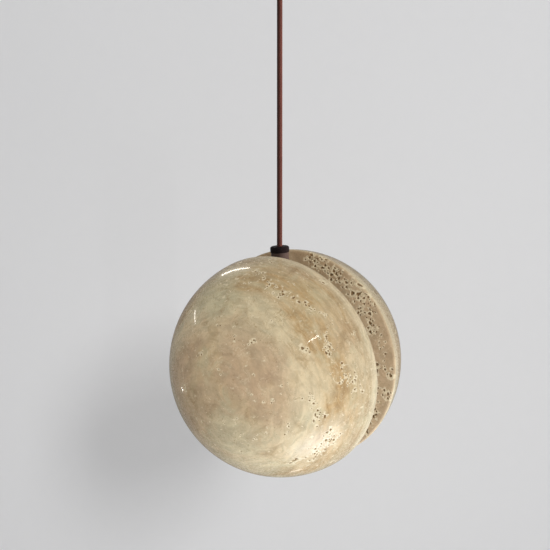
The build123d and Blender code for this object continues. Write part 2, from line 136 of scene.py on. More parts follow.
class StudioSettings(bpy.types.PropertyGroup):
    """Wall, floor, lights and camera"""

    wall: colour("Wall", "Backdrop behind the lamp", tone(233, 233, 234))
    floor: colour("Floor", "Pale floor far below", tone(226, 226, 226))
    wall_gap: length("Wall distance", "From the lamp's centre to the wall", 0.50)
    floor_level: length("Floor level", "Height of the floor", -0.86)
    sky: FloatProperty(name="Sky", description="Strength of the even surrounding light", default=0.495)
    key: FloatProperty(name="Key", description="Power of the lamp high on the right", default=25.8)
    side: FloatProperty(name="Side", description="Power of the slim lamp beside the cord", default=34.0)
    rear: FloatProperty(name="Rear", description="Power of the wide lamp behind the wall", default=16.0)
    wash: FloatProperty(name="Wash", description="Power of the low lamp that lights the wall", default=0.54)
    bounce: FloatProperty(name="Bounce", description="Power of the soft card below the lamp", default=2.15)
    eye: FloatVectorProperty(
        name="Camera place", description="Where the camera stands",
        default=(0.3573, -0.5802, -0.2374), subtype="TRANSLATION", precision=5,
    )
    aim: FloatVectorProperty(
        name="Camera turn", description="Which way the camera looks",
        default=(math.radians(85.33), 0.0, math.radians(31.97)), subtype="EULER",
    )
    lens: FloatProperty(name="Lens", description="Focal length in millimetres", default=50.1)


# Shader helpers


def put(tree, kind, settings=None, **values):
    """Add a node, set its options, and fill or link its inputs by name."""
    made = tree.nodes.new(kind)
    for key, value in (settings or {}).items():
        setattr(made, key, value)
    for key, value in values.items():
        feed(tree, made.inputs[key.replace("_", " ")], value)
    return made


def feed(tree, socket, value):
    """Link a socket to another node's output, or set its own value."""
    if isinstance(value, bpy.types.NodeSocket):
        tree.links.new(value, socket)
    elif isinstance(value, tuple) and len(value) == 3 and socket.type == "RGBA":
        socket.default_value = (*value, 1.0)
    else:
        socket.default_value = value


def calc(tree, operation, first, second=0.0, third=0.0, clamp=False):
    """A Math node's result."""
    made = tree.nodes.new("ShaderNodeMath")
    made.operation = operation
    made.use_clamp = clamp
    for socket, value in zip(made.inputs, (first, second, third)):
        feed(tree, socket, value)
    return made.outputs[0]


def times(tree, first, second, clamp=False):
    """The product of two values."""
    return calc(tree, "MULTIPLY", first, second, clamp=clamp)


def off_middle(tree, value):
    """How far a noise value lies from its middle, 0.5."""
    return calc(tree, "SUBTRACT", value, 0.5)


def blend(tree, factor, under, over, mode="MIX"):
    """One colour over another by a factor."""
    made = tree.nodes.new("ShaderNodeMix")
    made.data_type = "RGBA"
    made.blend_type = mode
    feed(tree, made.inputs[0], factor)
    feed(tree, made.inputs[6], under)
    feed(tree, made.inputs[7], over)
    return made.outputs[2]


def spread(tree, value, low, high, to_low=0.0, to_high=1.0):
    """A smooth step of a value between two limits, from to_low to to_high."""
    made = put(tree, "ShaderNodeMapRange", {"interpolation_type": "SMOOTHSTEP"}, Value=value)
    for name, number in (("From Min", low), ("From Max", high), ("To Min", to_low), ("To Max", to_high)):
        feed(tree, made.inputs[name], number)
    return made.outputs["Result"]


def noise(tree, vector, scale, detail=2.0, roughness=0.5, distortion=0.0):
    """A noise texture's value."""
    made = put(
        tree, "ShaderNodeTexNoise", Vector=vector, Scale=scale, Detail=detail,
        Roughness=roughness, Distortion=distortion,
    )
    return made.outputs[0]


def graded(tree, value, stops):
    """A grey ramp through (place, value) stops."""
    made = put(tree, "ShaderNodeValToRGB", Fac=value)
    ramp = made.color_ramp
    ramp.interpolation = "EASE"
    while len(ramp.elements) < len(stops):
        ramp.elements.new(0.5)
    for element, (place, level) in zip(ramp.elements, sorted(stops)):
        element.position = place
        element.color = (level, level, level, 1.0)
    return made.outputs[0]


def new_group(name, inputs, outputs):
    """A shader node group with named sockets; returns it with its inner ends."""
    tree = bpy.data.node_groups.new(name, "ShaderNodeTree")
    for label, kind, default in inputs:
        socket = tree.interface.new_socket(label, in_out="INPUT", socket_type=kind)
        if default is not None:
            socket.default_value = default
    for label, kind in outputs:
        tree.interface.new_socket(label, in_out="OUTPUT", socket_type=kind)
    return tree, tree.nodes.new("NodeGroupInput").outputs, tree.nodes.new("NodeGroupOutput").inputs


def new_material(name):
    """An empty material with its Principled shader and the object's own coordinates."""
    made = bpy.data.materials.new(name)
    made.use_nodes = True
    tree = made.node_tree
    tree.nodes.clear()
    shader = tree.nodes.new("ShaderNodeBsdfPrincipled")
    output = tree.nodes.new("ShaderNodeOutputMaterial")
    tree.links.new(shader.outputs[0], output.inputs["Surface"])
    place = tree.nodes.new("ShaderNodeTexCoord").outputs["Object"]
    return made, tree, shader, place


def use_group(tree, group, **values):
    """The outputs of a group that is placed in a tree, with its inputs filled by name."""
    return put(tree, "ShaderNodeGroup", {"node_tree": group}, **values).outputs


def bump(tree, shader, height, strength, distance):
    """Raise a shader's surface by a height."""
    made = put(tree, "ShaderNodeBump", Height=height, Strength=strength, Distance=distance)
    tree.links.new(made.outputs[0], shader.inputs["Normal"])


def grain_group():
    """Fine uneven grain: colour variation, gloss variation and height."""
    name = "Fine Grain"
    if name in bpy.data.node_groups:
        return bpy.data.node_groups[name]
    tree, given, out = new_group(
        name,
        [
            ("Vector", "NodeSocketVector", None),
            ("Colour", "NodeSocketColor", (0.5, 0.5, 0.5, 1.0)),
            ("Scale", "NodeSocketFloat", 400.0),
            ("Variation", "NodeSocketFloat", 0.2),
            ("Gloss", "NodeSocketFloat", 0.4),
        ],
        [("Colour", "NodeSocketColor"), ("Roughness", "NodeSocketFloat"), ("Height", "NodeSocketFloat")],
    )
    fine = noise(tree, given["Vector"], given["Scale"], detail=4.0, roughness=0.6)
    broad = noise(tree, given["Vector"], times(tree, given["Scale"], 0.06), detail=3.0)
    both = calc(tree, "ADD", times(tree, fine, 0.5), times(tree, broad, 0.5))
    swing = calc(tree, "MULTIPLY_ADD", off_middle(tree, both), given["Variation"], 0.5)
    level = times(tree, swing, 2.0)
    shade = put(tree, "ShaderNodeCombineColor", Red=level, Green=level, Blue=level).outputs[0]
    tree.links.new(blend(tree, 1.0, given["Colour"], shade, "MULTIPLY"), out["Colour"])
    rough = times(tree, given["Gloss"], spread(tree, broad, 0.3, 0.7, 0.85, 1.2))
    tree.links.new(rough, out["Roughness"])
    tree.links.new(fine, out["Height"])
    return tree


def turned_group():
    """Fine rings left by turning, round the vector's z axis."""
    name = "Turned Rings"
    if name in bpy.data.node_groups:
        return bpy.data.node_groups[name]
    tree, given, out = new_group(
        name,
        [
            ("Vector", "NodeSocketVector", None),
            ("Pitch", "NodeSocketFloat", 0.0004),
        ],
        [("Height", "NodeSocketFloat"), ("Mask", "NodeSocketFloat")],
    )
    parts = put(tree, "ShaderNodeSeparateXYZ", Vector=given["Vector"]).outputs
    square = calc(tree, "ADD", calc(tree, "POWER", parts[0], 2.0), calc(tree, "POWER", parts[1], 2.0))
    radius = calc(tree, "SQRT", square)
    run = calc(tree, "ADD", radius, parts[2])
    line = put(
        tree, "ShaderNodeTexNoise", {"noise_dimensions": "1D"}, W=calc(tree, "DIVIDE", run, given["Pitch"]),
        Scale=1.0, Detail=2.0,
    ).outputs[0]
    tree.links.new(line, out["Height"])
    tree.links.new(spread(tree, line, 0.35, 0.65), out["Mask"])
    return tree


# Broad clouds on the dome: (place in mm on the half, radius in mm, colour, strength)
CLOUDS = (
    ((29.0, 30.0, 100.0), 38.0, "Rose", 0.62),
    ((42.0, 4.0, 97.0), 30.0, "Rose", 0.5),
    ((-36.0, 24.0, 99.0), 26.0, "Rose", 0.45),
    ((10.0, -30.0, 104.0), 34.0, "Moss", 0.6),
    ((72.0, 9.0, 78.0), 26.0, "Pale", 0.6),
    ((27.0, 70.0, 76.0), 26.0, "Pale", 0.5),
    ((-26.0, 78.0, 66.0), 36.0, "Moss", 0.65),
    ((70.0, -40.0, 69.0), 38.0, "Pale", 0.3),
    ((52.0, -60.0, 70.0), 30.0, "Pale", 0.35),
    ((45.0, 51.5, 82.0), 17.0, "Pale", 0.55),
    ((4.0, -68.0, 82.0), 30.0, "Pale", 0.6),
    ((95.7, 14.0, 33.9), 22.0, "Pale", 0.55),
    # The last two clouds darken the tops of both halves beside the neck: partly the stone's darker tone there,
    # partly painted shade where the collar and the gap keep light away
    ((32.0, 94.0, 20.0), 34.0, "Umber", 0.14),
    ((-28.0, 94.0, 18.0), 34.0, "Umber", 0.24),
)


def travertine_group():
    """Bedded stone: layers across the half's axis, clouds, flecks and pores. Vector is in metres."""
    name = "Travertine"
    if name in bpy.data.node_groups:
        return bpy.data.node_groups[name]
    tree, given, out = new_group(
        name,
        [
            ("Vector", "NodeSocketVector", None),
            ("Pale", "NodeSocketColor", (0.7, 0.6, 0.45, 1.0)),
            ("Tan", "NodeSocketColor", (0.6, 0.42, 0.22, 1.0)),
            ("Rose", "NodeSocketColor", (0.5, 0.37, 0.24, 1.0)),
            ("Umber", "NodeSocketColor", (0.28, 0.18, 0.08, 1.0)),
            ("Moss", "NodeSocketColor", (0.6, 0.55, 0.36, 1.0)),
            ("Fleck", "NodeSocketColor", (0.8, 0.75, 0.55, 1.0)),
            ("Pore", "NodeSocketColor", (0.14, 0.08, 0.03, 1.0)),
            ("Pit", "NodeSocketFloat", 0.0),
            ("Halo", "NodeSocketFloat", 0.0),
            ("Shift", "NodeSocketFloat", 0.0),
        ],
        [("Colour", "NodeSocketColor"), ("Roughness", "NodeSocketFloat"), ("Height", "NodeSocketFloat")],
    )
    shifted = put(tree, "ShaderNodeVectorMath", {"operation": "ADD"})
    tree.links.new(given["Vector"], shifted.inputs[0])
    offset = put(tree, "ShaderNodeCombineXYZ", X=given["Shift"], Y=given["Shift"], Z=0.0)
    tree.links.new(offset.outputs[0], shifted.inputs[1])
    place = shifted.outputs[0]
    depth = put(tree, "ShaderNodeSeparateXYZ", Vector=given["Vector"]).outputs[2]
    depth = times(tree, depth, 1000.0)
    face = spread(tree, depth, 17.7, 19.2, 1.0, 0.0)

    def veil(under, factor, shade):
        """Lay one of the stone's colours over what is there."""
        return blend(tree, factor, under, given[shade])

    # Warped depth, in millimetres from the middle of the gap
    broad = noise(tree, place, 15.0, detail=2.0)
    middle = noise(tree, place, 52.0, detail=5.0, roughness=0.6)
    loose = spread(tree, depth, 66.0, 102.0, 1.0, 2.8)
    level = calc(tree, "MULTIPLY_ADD", off_middle(tree, broad), times(tree, loose, 22.0), depth)
    level = calc(tree, "MULTIPLY_ADD", off_middle(tree, middle), times(tree, loose, 13.0), level)
    share = calc(tree, "DIVIDE", calc(tree, "SUBTRACT", level, 10.0), 110.0)

    # Main layers, from the rim to the top of the dome
    warm = graded(tree, share, [
        (0.0, 0.4), (0.13, 0.22), (0.22, 0.5), (0.30, 0.5), (0.38, 0.8), (0.46, 0.95), (0.52, 0.85),
        (0.59, 0.35), (0.65, 0.12), (0.71, 0.15), (0.78, 0.4), (0.86, 0.45), (0.95, 0.3),
    ])
    pink = graded(tree, share, [
        (0.0, 0.5), (0.12, 0.35), (0.24, 0.4), (0.36, 0.2), (0.60, 0.05),
        (0.68, 0.3), (0.78, 0.7), (0.90, 0.6), (1.0, 0.4),
    ])
    flat_way = put(tree, "ShaderNodeVectorMath", {"operation": "MULTIPLY"})
    tree.links.new(place, flat_way.inputs[0])
    flat_way.inputs[1].default_value = (1.0, 1.0, 3.4)
    bedded = flat_way.outputs[0]
    cloud = noise(tree, bedded, 26.0, detail=7.0, roughness=0.6, distortion=0.5)
    patch = noise(tree, place, 20.0, detail=5.0, roughness=0.58, distortion=0.9)
    streak = put(
        tree, "ShaderNodeTexNoise", {"noise_dimensions": "1D"},
        W=times(tree, level, 0.22), Scale=1.0, Detail=5.0, Roughness=0.66,
    ).outputs[0]
    calm = spread(tree, depth, 74.0, 96.0, 1.0, 0.2)
    swing = times(tree, times(tree, off_middle(tree, streak), 1.2), calm)
    streaked = calc(tree, "ADD", warm, swing, clamp=True)
    streaked = times(tree, streaked, spread(tree, cloud, 0.3, 0.6, 0.45, 1.15), clamp=True)
    pink = times(tree, pink, spread(tree, patch, 0.38, 0.58, 0.15, 1.1), clamp=True)
    cool = spread(tree, noise(tree, place, 17.0, detail=4.0, roughness=0.55, distortion=0.6), 0.44, 0.6, 0.0, 0.9)
    base = veil(given["Pale"], cool, "Moss")
    base = veil(base, streaked, "Tan")
    base = veil(base, pink, "Rose")
    dark = times(tree, spread(tree, streak, 0.56, 0.7), spread(tree, cloud, 0.42, 0.62, 0.1, 1.0))
    dark = times(tree, dark, spread(tree, warm, 0.1, 0.8, 0.12, 0.55))
    base = veil(base, times(tree, dark, calm), "Umber")
    smudge = noise(tree, place, 58.0, detail=4.0, roughness=0.52, distortion=1.0)
    base = veil(base, spread(tree, smudge, 0.52, 0.68, 0.0, 0.4), "Umber")
    base = veil(base, spread(tree, smudge, 0.46, 0.32, 0.0, 0.4), "Moss")

    # Rosier flat face, and painted light where the dome meets it: a cream band in the flecks' colour that stands in
    # for the rounded rim catching the light
    base = veil(base, times(tree, face, 0.6), "Rose")
    painted_rim_light = times(tree, spread(tree, depth, 17.8, 19.4), spread(tree, depth, 23.0, 30.0, 0.6, 0.0))
    painted_rim_light = times(tree, painted_rim_light, spread(tree, patch, 0.4, 0.56, 0.4, 1.0))
    base = veil(base, painted_rim_light, "Fleck")

    for where, reach, shade, strength in CLOUDS:
        apart = put(tree, "ShaderNodeVectorMath", {"operation": "DISTANCE"})
        tree.links.new(given["Vector"], apart.inputs[0])
        apart.inputs[1].default_value = tuple(part / 1000 for part in where)
        ragged = calc(tree, "MULTIPLY_ADD", off_middle(tree, middle), 0.05, apart.outputs["Value"])
        base = veil(base, spread(tree, ragged, reach / 1000, reach * 0.35 / 1000, 0.0, strength), shade)

    # Soft smears along the layers, fine grain, crazing and pale threads
    smear = noise(tree, bedded, 75.0, detail=4.0, roughness=0.58, distortion=0.8)
    fine = noise(tree, place, 620.0, detail=5.0, roughness=0.7)
    smeared = spread(tree, smear, 0.28, 0.72, 0.86, 1.12)
    shade = times(tree, smeared, spread(tree, fine, 0.25, 0.75, 0.98, 1.02))
    shades = put(tree, "ShaderNodeCombineColor", Red=shade, Green=shade, Blue=shade).outputs[0]
    base = blend(tree, 1.0, base, shades, "MULTIPLY")
    ridge = noise(tree, place, 85.0, detail=3.0, roughness=0.55, distortion=1.4)
    craze = spread(tree, calc(tree, "ABSOLUTE", off_middle(tree, ridge)), 0.0, 0.011, 1.0, 0.0)
    craze = times(tree, craze, spread(tree, patch, 0.38, 0.6, 0.1, 0.6))
    base = veil(base, craze, "Umber")
    veins = noise(tree, bedded, 48.0, detail=6.0, roughness=0.62, distortion=1.0)
    thread = spread(tree, calc(tree, "ABSOLUTE", calc(tree, "SUBTRACT", veins, 0.47)), 0.0, 0.013, 1.0, 0.0)
    thread = times(tree, thread, spread(tree, cloud, 0.42, 0.62, 0.05, 0.55))
    base = veil(base, thread, "Fleck")

    # Cream mineral and dark specks, thickest in the porous layers and round the pores
    porous = graded(tree, share, [
        (0.0, 0.3), (0.12, 0.1), (0.20, 0.6), (0.29, 0.3), (0.40, 0.6),
        (0.47, 0.9), (0.56, 0.3), (0.62, 0.55), (0.70, 0.15), (0.9, 0.25),
    ])
    porous = times(tree, porous, spread(tree, patch, 0.36, 0.58, 0.3, 1.0))
    thick = calc(tree, "MAXIMUM", given["Halo"], times(tree, porous, 0.4))
    crumbs = noise(tree, place, 270.0, detail=6.0, roughness=0.7, distortion=0.5)
    cream = spread(tree, calc(tree, "MULTIPLY_ADD", thick, 0.21, crumbs), 0.61, 0.72, 0.0, 0.88)
    base = veil(base, cream, "Fleck")
    grit = noise(tree, place, 760.0, detail=2.0, roughness=0.5)
    speck = spread(tree, calc(tree, "MULTIPLY_ADD", thick, 0.07, grit), 0.705, 0.775, 0.0, 0.7)
    base = veil(base, speck, "Pore")
    inside = spread(tree, given["Pit"], 0.25, 0.95)
    base = veil(base, times(tree, inside, 0.85), "Pore")
    tree.links.new(base, out["Colour"])

    polish = calc(tree, "ADD", spread(tree, fine, 0.3, 0.7, 0.24, 0.32), times(tree, inside, 0.5))
    tree.links.new(calc(tree, "ADD", polish, times(tree, cream, 0.12), clamp=True), out["Roughness"])
    tree.links.new(calc(tree, "SUBTRACT", times(tree, crumbs, 0.3), thread), out["Height"])
    return tree


# Stone halves

RIM_POINTS = 240  # round the edge of the plate's seat
RIM_BENDS = 10  # rows over the rounded rim
RIM_MAP_STEPS = 65  # steps in which the flat map follows the rounded rim
HOLLOW_ROWS = 12  # rows from the hollow's mouth to its deepest point
SHARP_RINGS = 4  # seat's edge, foot of the recess, hollow's mouth and start of the hollow's floor
LEAST_STEP = 0.00016  # grid in which close points become one
SEAT_MARGIN = 0.0004  # between the seat's edge and the nearest pore point
PORE_STEP = 0.00042  # between the points of a ring round a pore
PORE_RINGS = (1.3, 1.1, 0.98, 0.84, 0.62, 0.34)  # in shares of the pore's outline
PORE_WALL = 0.45  # share of the outline over which the wall falls to the floor
CLEAR_OF_PORE = 1.42  # share of the outline from which plain points start
HALO_REACH = 2.2  # how far the mineral goes past the outline, in shares of it
POROUS_LEVELS = (33.0, 58.0, 60.0, 76.0)  # in mm from the middle of the gap
REAR_SEED_STEP = 50  # added to the pore seed for the rear half


def ring_points(radius, height, count, start=0.0):
    """Even points on a circle round a half's axis, the first one turned by a share of a step."""
    spin = (np.arange(count) + start) * 2 * math.pi / count
    return np.stack((radius * np.cos(spin), radius * np.sin(spin), np.full(count, height)), 1)


def half_turn(stone, front):
    """Turn from one half's own axes (z out along its axis, y up the lamp) to the lamp's upright frame."""
    tip = stone.lean
    up = Vector((0.0, -math.sin(tip), math.cos(tip)))
    out = Vector((0.0, -math.cos(tip), -math.sin(tip))) * (1.0 if front else -1.0)
    return Matrix((up.cross(out), up, out)).transposed()


class Surface:
    """Outer skin of a stone half: dome, rounded rim and flat face, with an angle-true flat map of it."""

    def __init__(self, stone):
        self.radius = stone.dome_radius
        self.face = stone.gap / 2
        self.middle = self.face - stone.face_inset
        self.round = stone.rim_round
        self.seat = stone.seat_radius
        self.round_z = self.face + self.round
        reach = self.radius - self.round
        self.round_r = math.sqrt(reach**2 - (self.round_z - self.middle) ** 2)
        self.turn = math.atan2(self.round_r, self.round_z - self.middle)
        steps = np.linspace(self.turn, math.pi, RIM_MAP_STEPS)
        radii = self.round_r + self.round * np.sin(steps)
        log = np.concatenate(([0.0], np.cumsum(self.round * np.diff(steps) * 2 / (radii[1:] + radii[:-1]))))
        self.round_steps = steps
        self.round_map = math.tan(self.turn / 2) * np.exp(log)
        self.edge_map = self.round_map[-1] * self.round_r / self.seat

    def settle(self, points):
        """Nearest surface points, their outward normals and their places on the flat map."""
        spin = np.arctan2(points[:, 1], points[:, 0])
        r = np.hypot(points[:, 0], points[:, 1])
        z = points[:, 2]
        tilt = np.arctan2(r, z - self.middle)
        on_flat = (z < self.face + 1e-5) & (r < self.round_r)
        on_dome = ~on_flat & (tilt <= self.turn)
        on_round = ~on_flat & ~on_dome & (r >= self.round_r)
        bend = np.clip(np.arctan2(r - self.round_r, z - self.round_z), self.turn, math.pi)
        angle = np.where(on_dome, tilt, np.where(on_round, bend, math.pi))
        flat_r = np.clip(r, self.seat, self.round_r)
        radius = np.where(
            on_dome, self.radius * np.sin(angle),
            np.where(on_round, self.round_r + self.round * np.sin(angle), flat_r),
        )
        height = np.where(
            on_dome, self.middle + self.radius * np.cos(angle),
            np.where(on_round, self.round_z + self.round * np.cos(angle), self.face),
        )
        spot = np.where(
            on_dome, np.tan(np.minimum(angle, self.turn) / 2),
            np.where(
                on_round, np.interp(angle, self.round_steps, self.round_map),
                self.round_map[-1] * self.round_r / flat_r,
            ),
        )
        c, s = np.cos(spin), np.sin(spin)
        base = np.stack((radius * c, radius * s, height), 1)
        normal = np.stack((np.sin(angle) * c, np.sin(angle) * s, np.cos(angle)), 1)
        return base, normal, np.stack((spot * c, spot * s), 1)

    def plain_points(self, spacing):
        """Even rings of points over the whole skin, and the ring at the edge of the plate's seat."""
        rows = []
        step = spacing * 0.87
        count = int(self.radius * self.turn / step)
        for tilt in np.linspace(0.0, self.turn, count + 1)[1:]:
            rows.append((self.radius * math.sin(tilt), self.middle + self.radius * math.cos(tilt)))
        for bend in np.linspace(self.turn, math.pi, RIM_BENDS)[1:]:
            rows.append((self.round_r + self.round * math.sin(bend), self.round_z + self.round * math.cos(bend)))
        flat = int((self.round_r - self.seat) / step)
        for r in np.linspace(self.round_r, self.seat, flat + 1)[1:-1]:
            rows.append((r, self.face))
        points = [np.array([[0.0, 0.0, self.middle + self.radius]])]
        for index, (r, z) in enumerate(rows):
            around = max(6, int(2 * math.pi * r / spacing))
            points.append(ring_points(r, z, around, 0.5 * (index % 2)))
        return np.concatenate(points), ring_points(self.seat, self.face, RIM_POINTS)


class Pores:
    """Open pores in the stone: uneven rounded pits, each with its own place, outline and depth."""

    def __init__(self, surface, rng):
        self.surface = surface
        self.rng = rng
        self.places = []
        self.sizes = []

    def nest(self, where, spread_x, spread_y, count, smallest, largest):
        """Pores scattered round a point, spread along the bedding and across it."""
        where = np.array(where, float)[None, :] / 1000
        base, normal, _ = self.surface.settle(where)
        along = np.cross([0.0, 0.0, 1.0], normal[0])
        if np.linalg.norm(along) < 0.2:
            along = np.cross([0.0, 0.0, 1.0], base[0])
        along /= np.linalg.norm(along)
        across = np.cross(normal[0], along)
        for _ in range(count):
            shift = along * self.rng.normal(0, spread_x) + across * self.rng.normal(0, spread_y)
            self.places.append(base[0] + shift / 1000)
            self.sizes.append(smallest + (largest - smallest) * self.rng.random() ** 2)

    def close(self):
        """Settle every pore on the skin and drop those that fall on the plate's seat or on each other."""
        rng = self.rng
        base, normal, _ = self.surface.settle(np.array(self.places))
        size = np.array(self.sizes) / 1000
        flat = normal[:, 2] < -0.99
        r = np.hypot(base[:, 0], base[:, 1])
        good = ~flat | (r > self.surface.seat + 1.6 * size + 0.0008)
        for index in range(len(size)):
            if not good[index]:
                continue
            near = np.linalg.norm(base[:index] - base[index], axis=1) < 0.85 * (size[:index] + size[index])
            if np.any(near & good[:index]):
                good[index] = False
        base, normal, size = base[good], normal[good], size[good]
        total = len(size)
        along = np.cross(np.array([0.0, 0.0, 1.0]), normal)
        flat = np.linalg.norm(along, axis=1) < 0.2
        along[flat] = np.cross(np.array([0.0, 0.0, 1.0]), base[flat])
        along /= np.linalg.norm(along, axis=1)[:, None]
        across = np.cross(normal, along)
        swing = rng.normal(0, 0.5, total)
        swing[flat] = rng.uniform(0, math.pi, int(flat.sum()))
        self.u = along * np.cos(swing)[:, None] + across * np.sin(swing)[:, None]
        self.v = np.cross(normal, self.u)
        stretch = 1.0 + 0.9 * rng.random(total) ** 2
        self.base = base
        self.a = size * np.sqrt(stretch)
        self.b = size / np.sqrt(stretch)
        self.depth = size * rng.uniform(0.4, 0.8, total)
        self.wave = rng.uniform(0.05, 0.2, (total, 2))
        self.phase = rng.uniform(0, 2 * math.pi, (total, 2))

    def outline(self, index, angle):
        """How far a pore's uneven edge lies out at each angle, as a share of its plain oval."""
        wave, phase = self.wave[index], self.phase[index]
        return 1 + wave[0] * np.sin(2 * angle + phase[0]) + wave[1] * np.sin(3 * angle + phase[1])

    def rings(self):
        """Points that follow each pore's outline, wall and floor."""
        points = []
        for index in range(len(self.a)):
            mean = math.sqrt(self.a[index] * self.b[index])
            points.append(self.base[index][None, :])
            for share in PORE_RINGS:
                around = max(6, int(2 * math.pi * mean * share / PORE_STEP))
                angle = (np.arange(around) + self.rng.random()) * 2 * math.pi / around
                reach = share * self.outline(index, angle)
                x = self.a[index] * reach * np.cos(angle)
                y = self.b[index] * reach * np.sin(angle)
                points.append(self.base[index] + x[:, None] * self.u[index] + y[:, None] * self.v[index])
        return np.concatenate(points)

    def measure(self, base):
        """For each point: depth below the skin, share down a pore's wall, halo, and distance in pore outlines."""
        depth = np.zeros(len(base))
        inside = np.zeros(len(base))
        halo = np.zeros(len(base))
        close = np.full(len(base), 99.0)
        order = np.argsort(base[:, 0])
        sorted_x = base[order, 0]
        for index in range(len(self.a)):
            reach = (1 + HALO_REACH) * max(self.a[index], self.b[index])
            low = np.searchsorted(sorted_x, self.base[index, 0] - reach)
            high = np.searchsorted(sorted_x, self.base[index, 0] + reach)
            ids = order[low:high]
            step = base[ids] - self.base[index]
            ids = ids[np.einsum("ij,ij->i", step, step) < reach * reach]
            step = base[ids] - self.base[index]
            x = step @ self.u[index] / self.a[index]
            y = step @ self.v[index] / self.b[index]
            share = np.hypot(x, y) / self.outline(index, np.arctan2(y, x))
            wall = np.clip((1.0 - share) / PORE_WALL, 0, 1)
            wall = wall * wall * (3 - 2 * wall)
            depth[ids] = np.maximum(depth[ids], wall * self.depth[index])
            inside[ids] = np.maximum(inside[ids], wall)
            halo[ids] = np.maximum(halo[ids], np.clip(1 - (share - 1.0) / HALO_REACH, 0, 1))
            close[ids] = np.minimum(close[ids], share)
        return depth, inside, halo, close


# Nests of pores: (place on the half, spread along and across the bedding, count, least and largest radius), in mm
FRONT_NESTS = (
    ((38.6, 76.6, 60.9), 0.4, 0.4, 1, 1.5, 1.6),
    ((46.2, 74.0, 58.3), 0.6, 0.4, 1, 1.3, 1.5),
    ((51.9, 70.9, 57.2), 1.6, 0.8, 3, 1.1, 1.7),
    ((55.9, 68.5, 56.3), 1.8, 1.2, 5, 0.9, 1.6),
    ((60.5, 66.0, 54.5), 2.0, 1.6, 4, 0.7, 1.2),
    ((56.7, 80.7, 26.2), 0.4, 0.4, 1, 1.5, 1.7),
    ((62.7, 40.5, 76.1), 1.5, 1.0, 3, 1.5, 2.1),
    ((66.5, 37.0, 75.0), 2.4, 1.5, 4, 0.7, 1.3),
    ((78.9, 33.9, 60.7), 3.5, 2.5, 10, 0.7, 1.5),
    ((74.5, 44.5, 59.0), 4.0, 2.5, 8, 0.6, 1.3),
    ((70.0, 57.0, 52.0), 4.0, 3.0, 6, 0.5, 1.1),
    ((87.2, 13.1, 56.6), 7.0, 3.0, 16, 0.6, 1.6),
    ((91.5, 6.0, 47.0), 7.0, 4.0, 14, 0.6, 1.5),
    ((70.0, -1.9, 80.9), 5.0, 3.0, 14, 0.5, 1.4),
    ((74.5, -15.8, 74.3), 4.0, 2.5, 12, 0.6, 1.6),
    ((75.0, -41.6, 60.9), 7.0, 4.0, 24, 0.6, 1.6),
    ((62.0, -52.0, 66.0), 6.0, 3.5, 14, 0.6, 1.5),
    ((46.0, -60.8, 74.3), 2.2, 0.8, 6, 0.9, 1.9),
    ((-4.0, 54.0, 93.6), 1.6, 0.8, 3, 0.4, 0.9),
    ((12.8, 47.6, 96.5), 2.0, 1.0, 4, 0.4, 1.0),
    ((28.5, 44.7, 94.3), 1.4, 1.0, 3, 0.6, 1.1),
    ((22.2, 43.7, 96.6), 3.5, 1.2, 4, 0.4, 0.8),
    ((-16.5, 32.2, 102.7), 2.2, 1.4, 5, 0.5, 1.1),
    ((4.7, 21.4, 107.0), 2.4, 1.4, 4, 0.5, 1.1),
    ((-41.3, 31.4, 95.0), 2.5, 2.5, 4, 0.4, 0.9),
    ((-36.2, 0.5, 102.7), 3.0, 1.0, 5, 0.5, 1.1),
    ((45.4, 0.2, 98.6), 2.0, 1.2, 3, 0.5, 0.9),
    ((5.1, -18.5, 107.6), 3.0, 1.6, 6, 0.4, 1.0),
    ((10.3, -49.4, 95.8), 2.5, 1.5, 4, 0.5, 1.1),
    ((18.4, -39.7, 99.4), 3.5, 1.5, 5, 0.4, 0.9),
    ((29.0, -33.3, 99.2), 4.0, 1.5, 5, 0.4, 0.9),
    ((53.4, -23.8, 90.6), 4.0, 1.0, 5, 0.5, 1.1),
)
REAR_NESTS = (
    ((-18.7, 91.6, 17.5), 2.6, 3.0, 5, 0.9, 1.9),
    ((-28.0, 89.2, 17.5), 3.6, 3.5, 8, 1.0, 2.3),
    ((-37.5, 83.3, 17.5), 3.6, 4.0, 8, 1.0, 2.3),
    ((-45.9, 75.6, 17.5), 4.1, 4.5, 10, 1.0, 2.4),
    ((-54.2, 68.3, 17.5), 4.1, 4.0, 9, 1.0, 2.4),
    ((-63.6, 60.0, 17.5), 4.1, 4.5, 10, 1.0, 2.6),
    ((-69.9, 53.2, 17.5), 3.6, 4.0, 9, 1.1, 2.7),
    ((-74.1, 44.9, 17.5), 3.6, 3.5, 8, 1.0, 2.6),
    ((-78.8, 34.4, 17.5), 3.6, 3.5, 8, 0.9, 2.4),
    ((-85.4, 29.7, 17.5), 2.6, 3.0, 3, 0.9, 1.9),
    ((-93.1, -8.3, 17.5), 3.6, 3.0, 5, 1.0, 2.3),
    ((-89.6, -26.9, 17.5), 3.1, 3.5, 7, 1.1, 2.7),
    ((-86.4, -31.2, 17.5), 2.6, 3.0, 3, 0.9, 2.1),
    ((-29.0, 89.4, 18.5), 4.0, 2.5, 7, 0.7, 1.8),
    ((-44.1, 83.0, 18.5), 4.5, 2.5, 9, 0.7, 1.9),
    ((-57.9, 74.1, 18.5), 4.5, 2.5, 9, 0.7, 1.9),
    ((-69.9, 62.9, 18.5), 4.5, 2.5, 8, 0.7, 1.9),
    ((-78.8, 51.2, 18.5), 4.0, 2.5, 6, 0.7, 1.7),
)


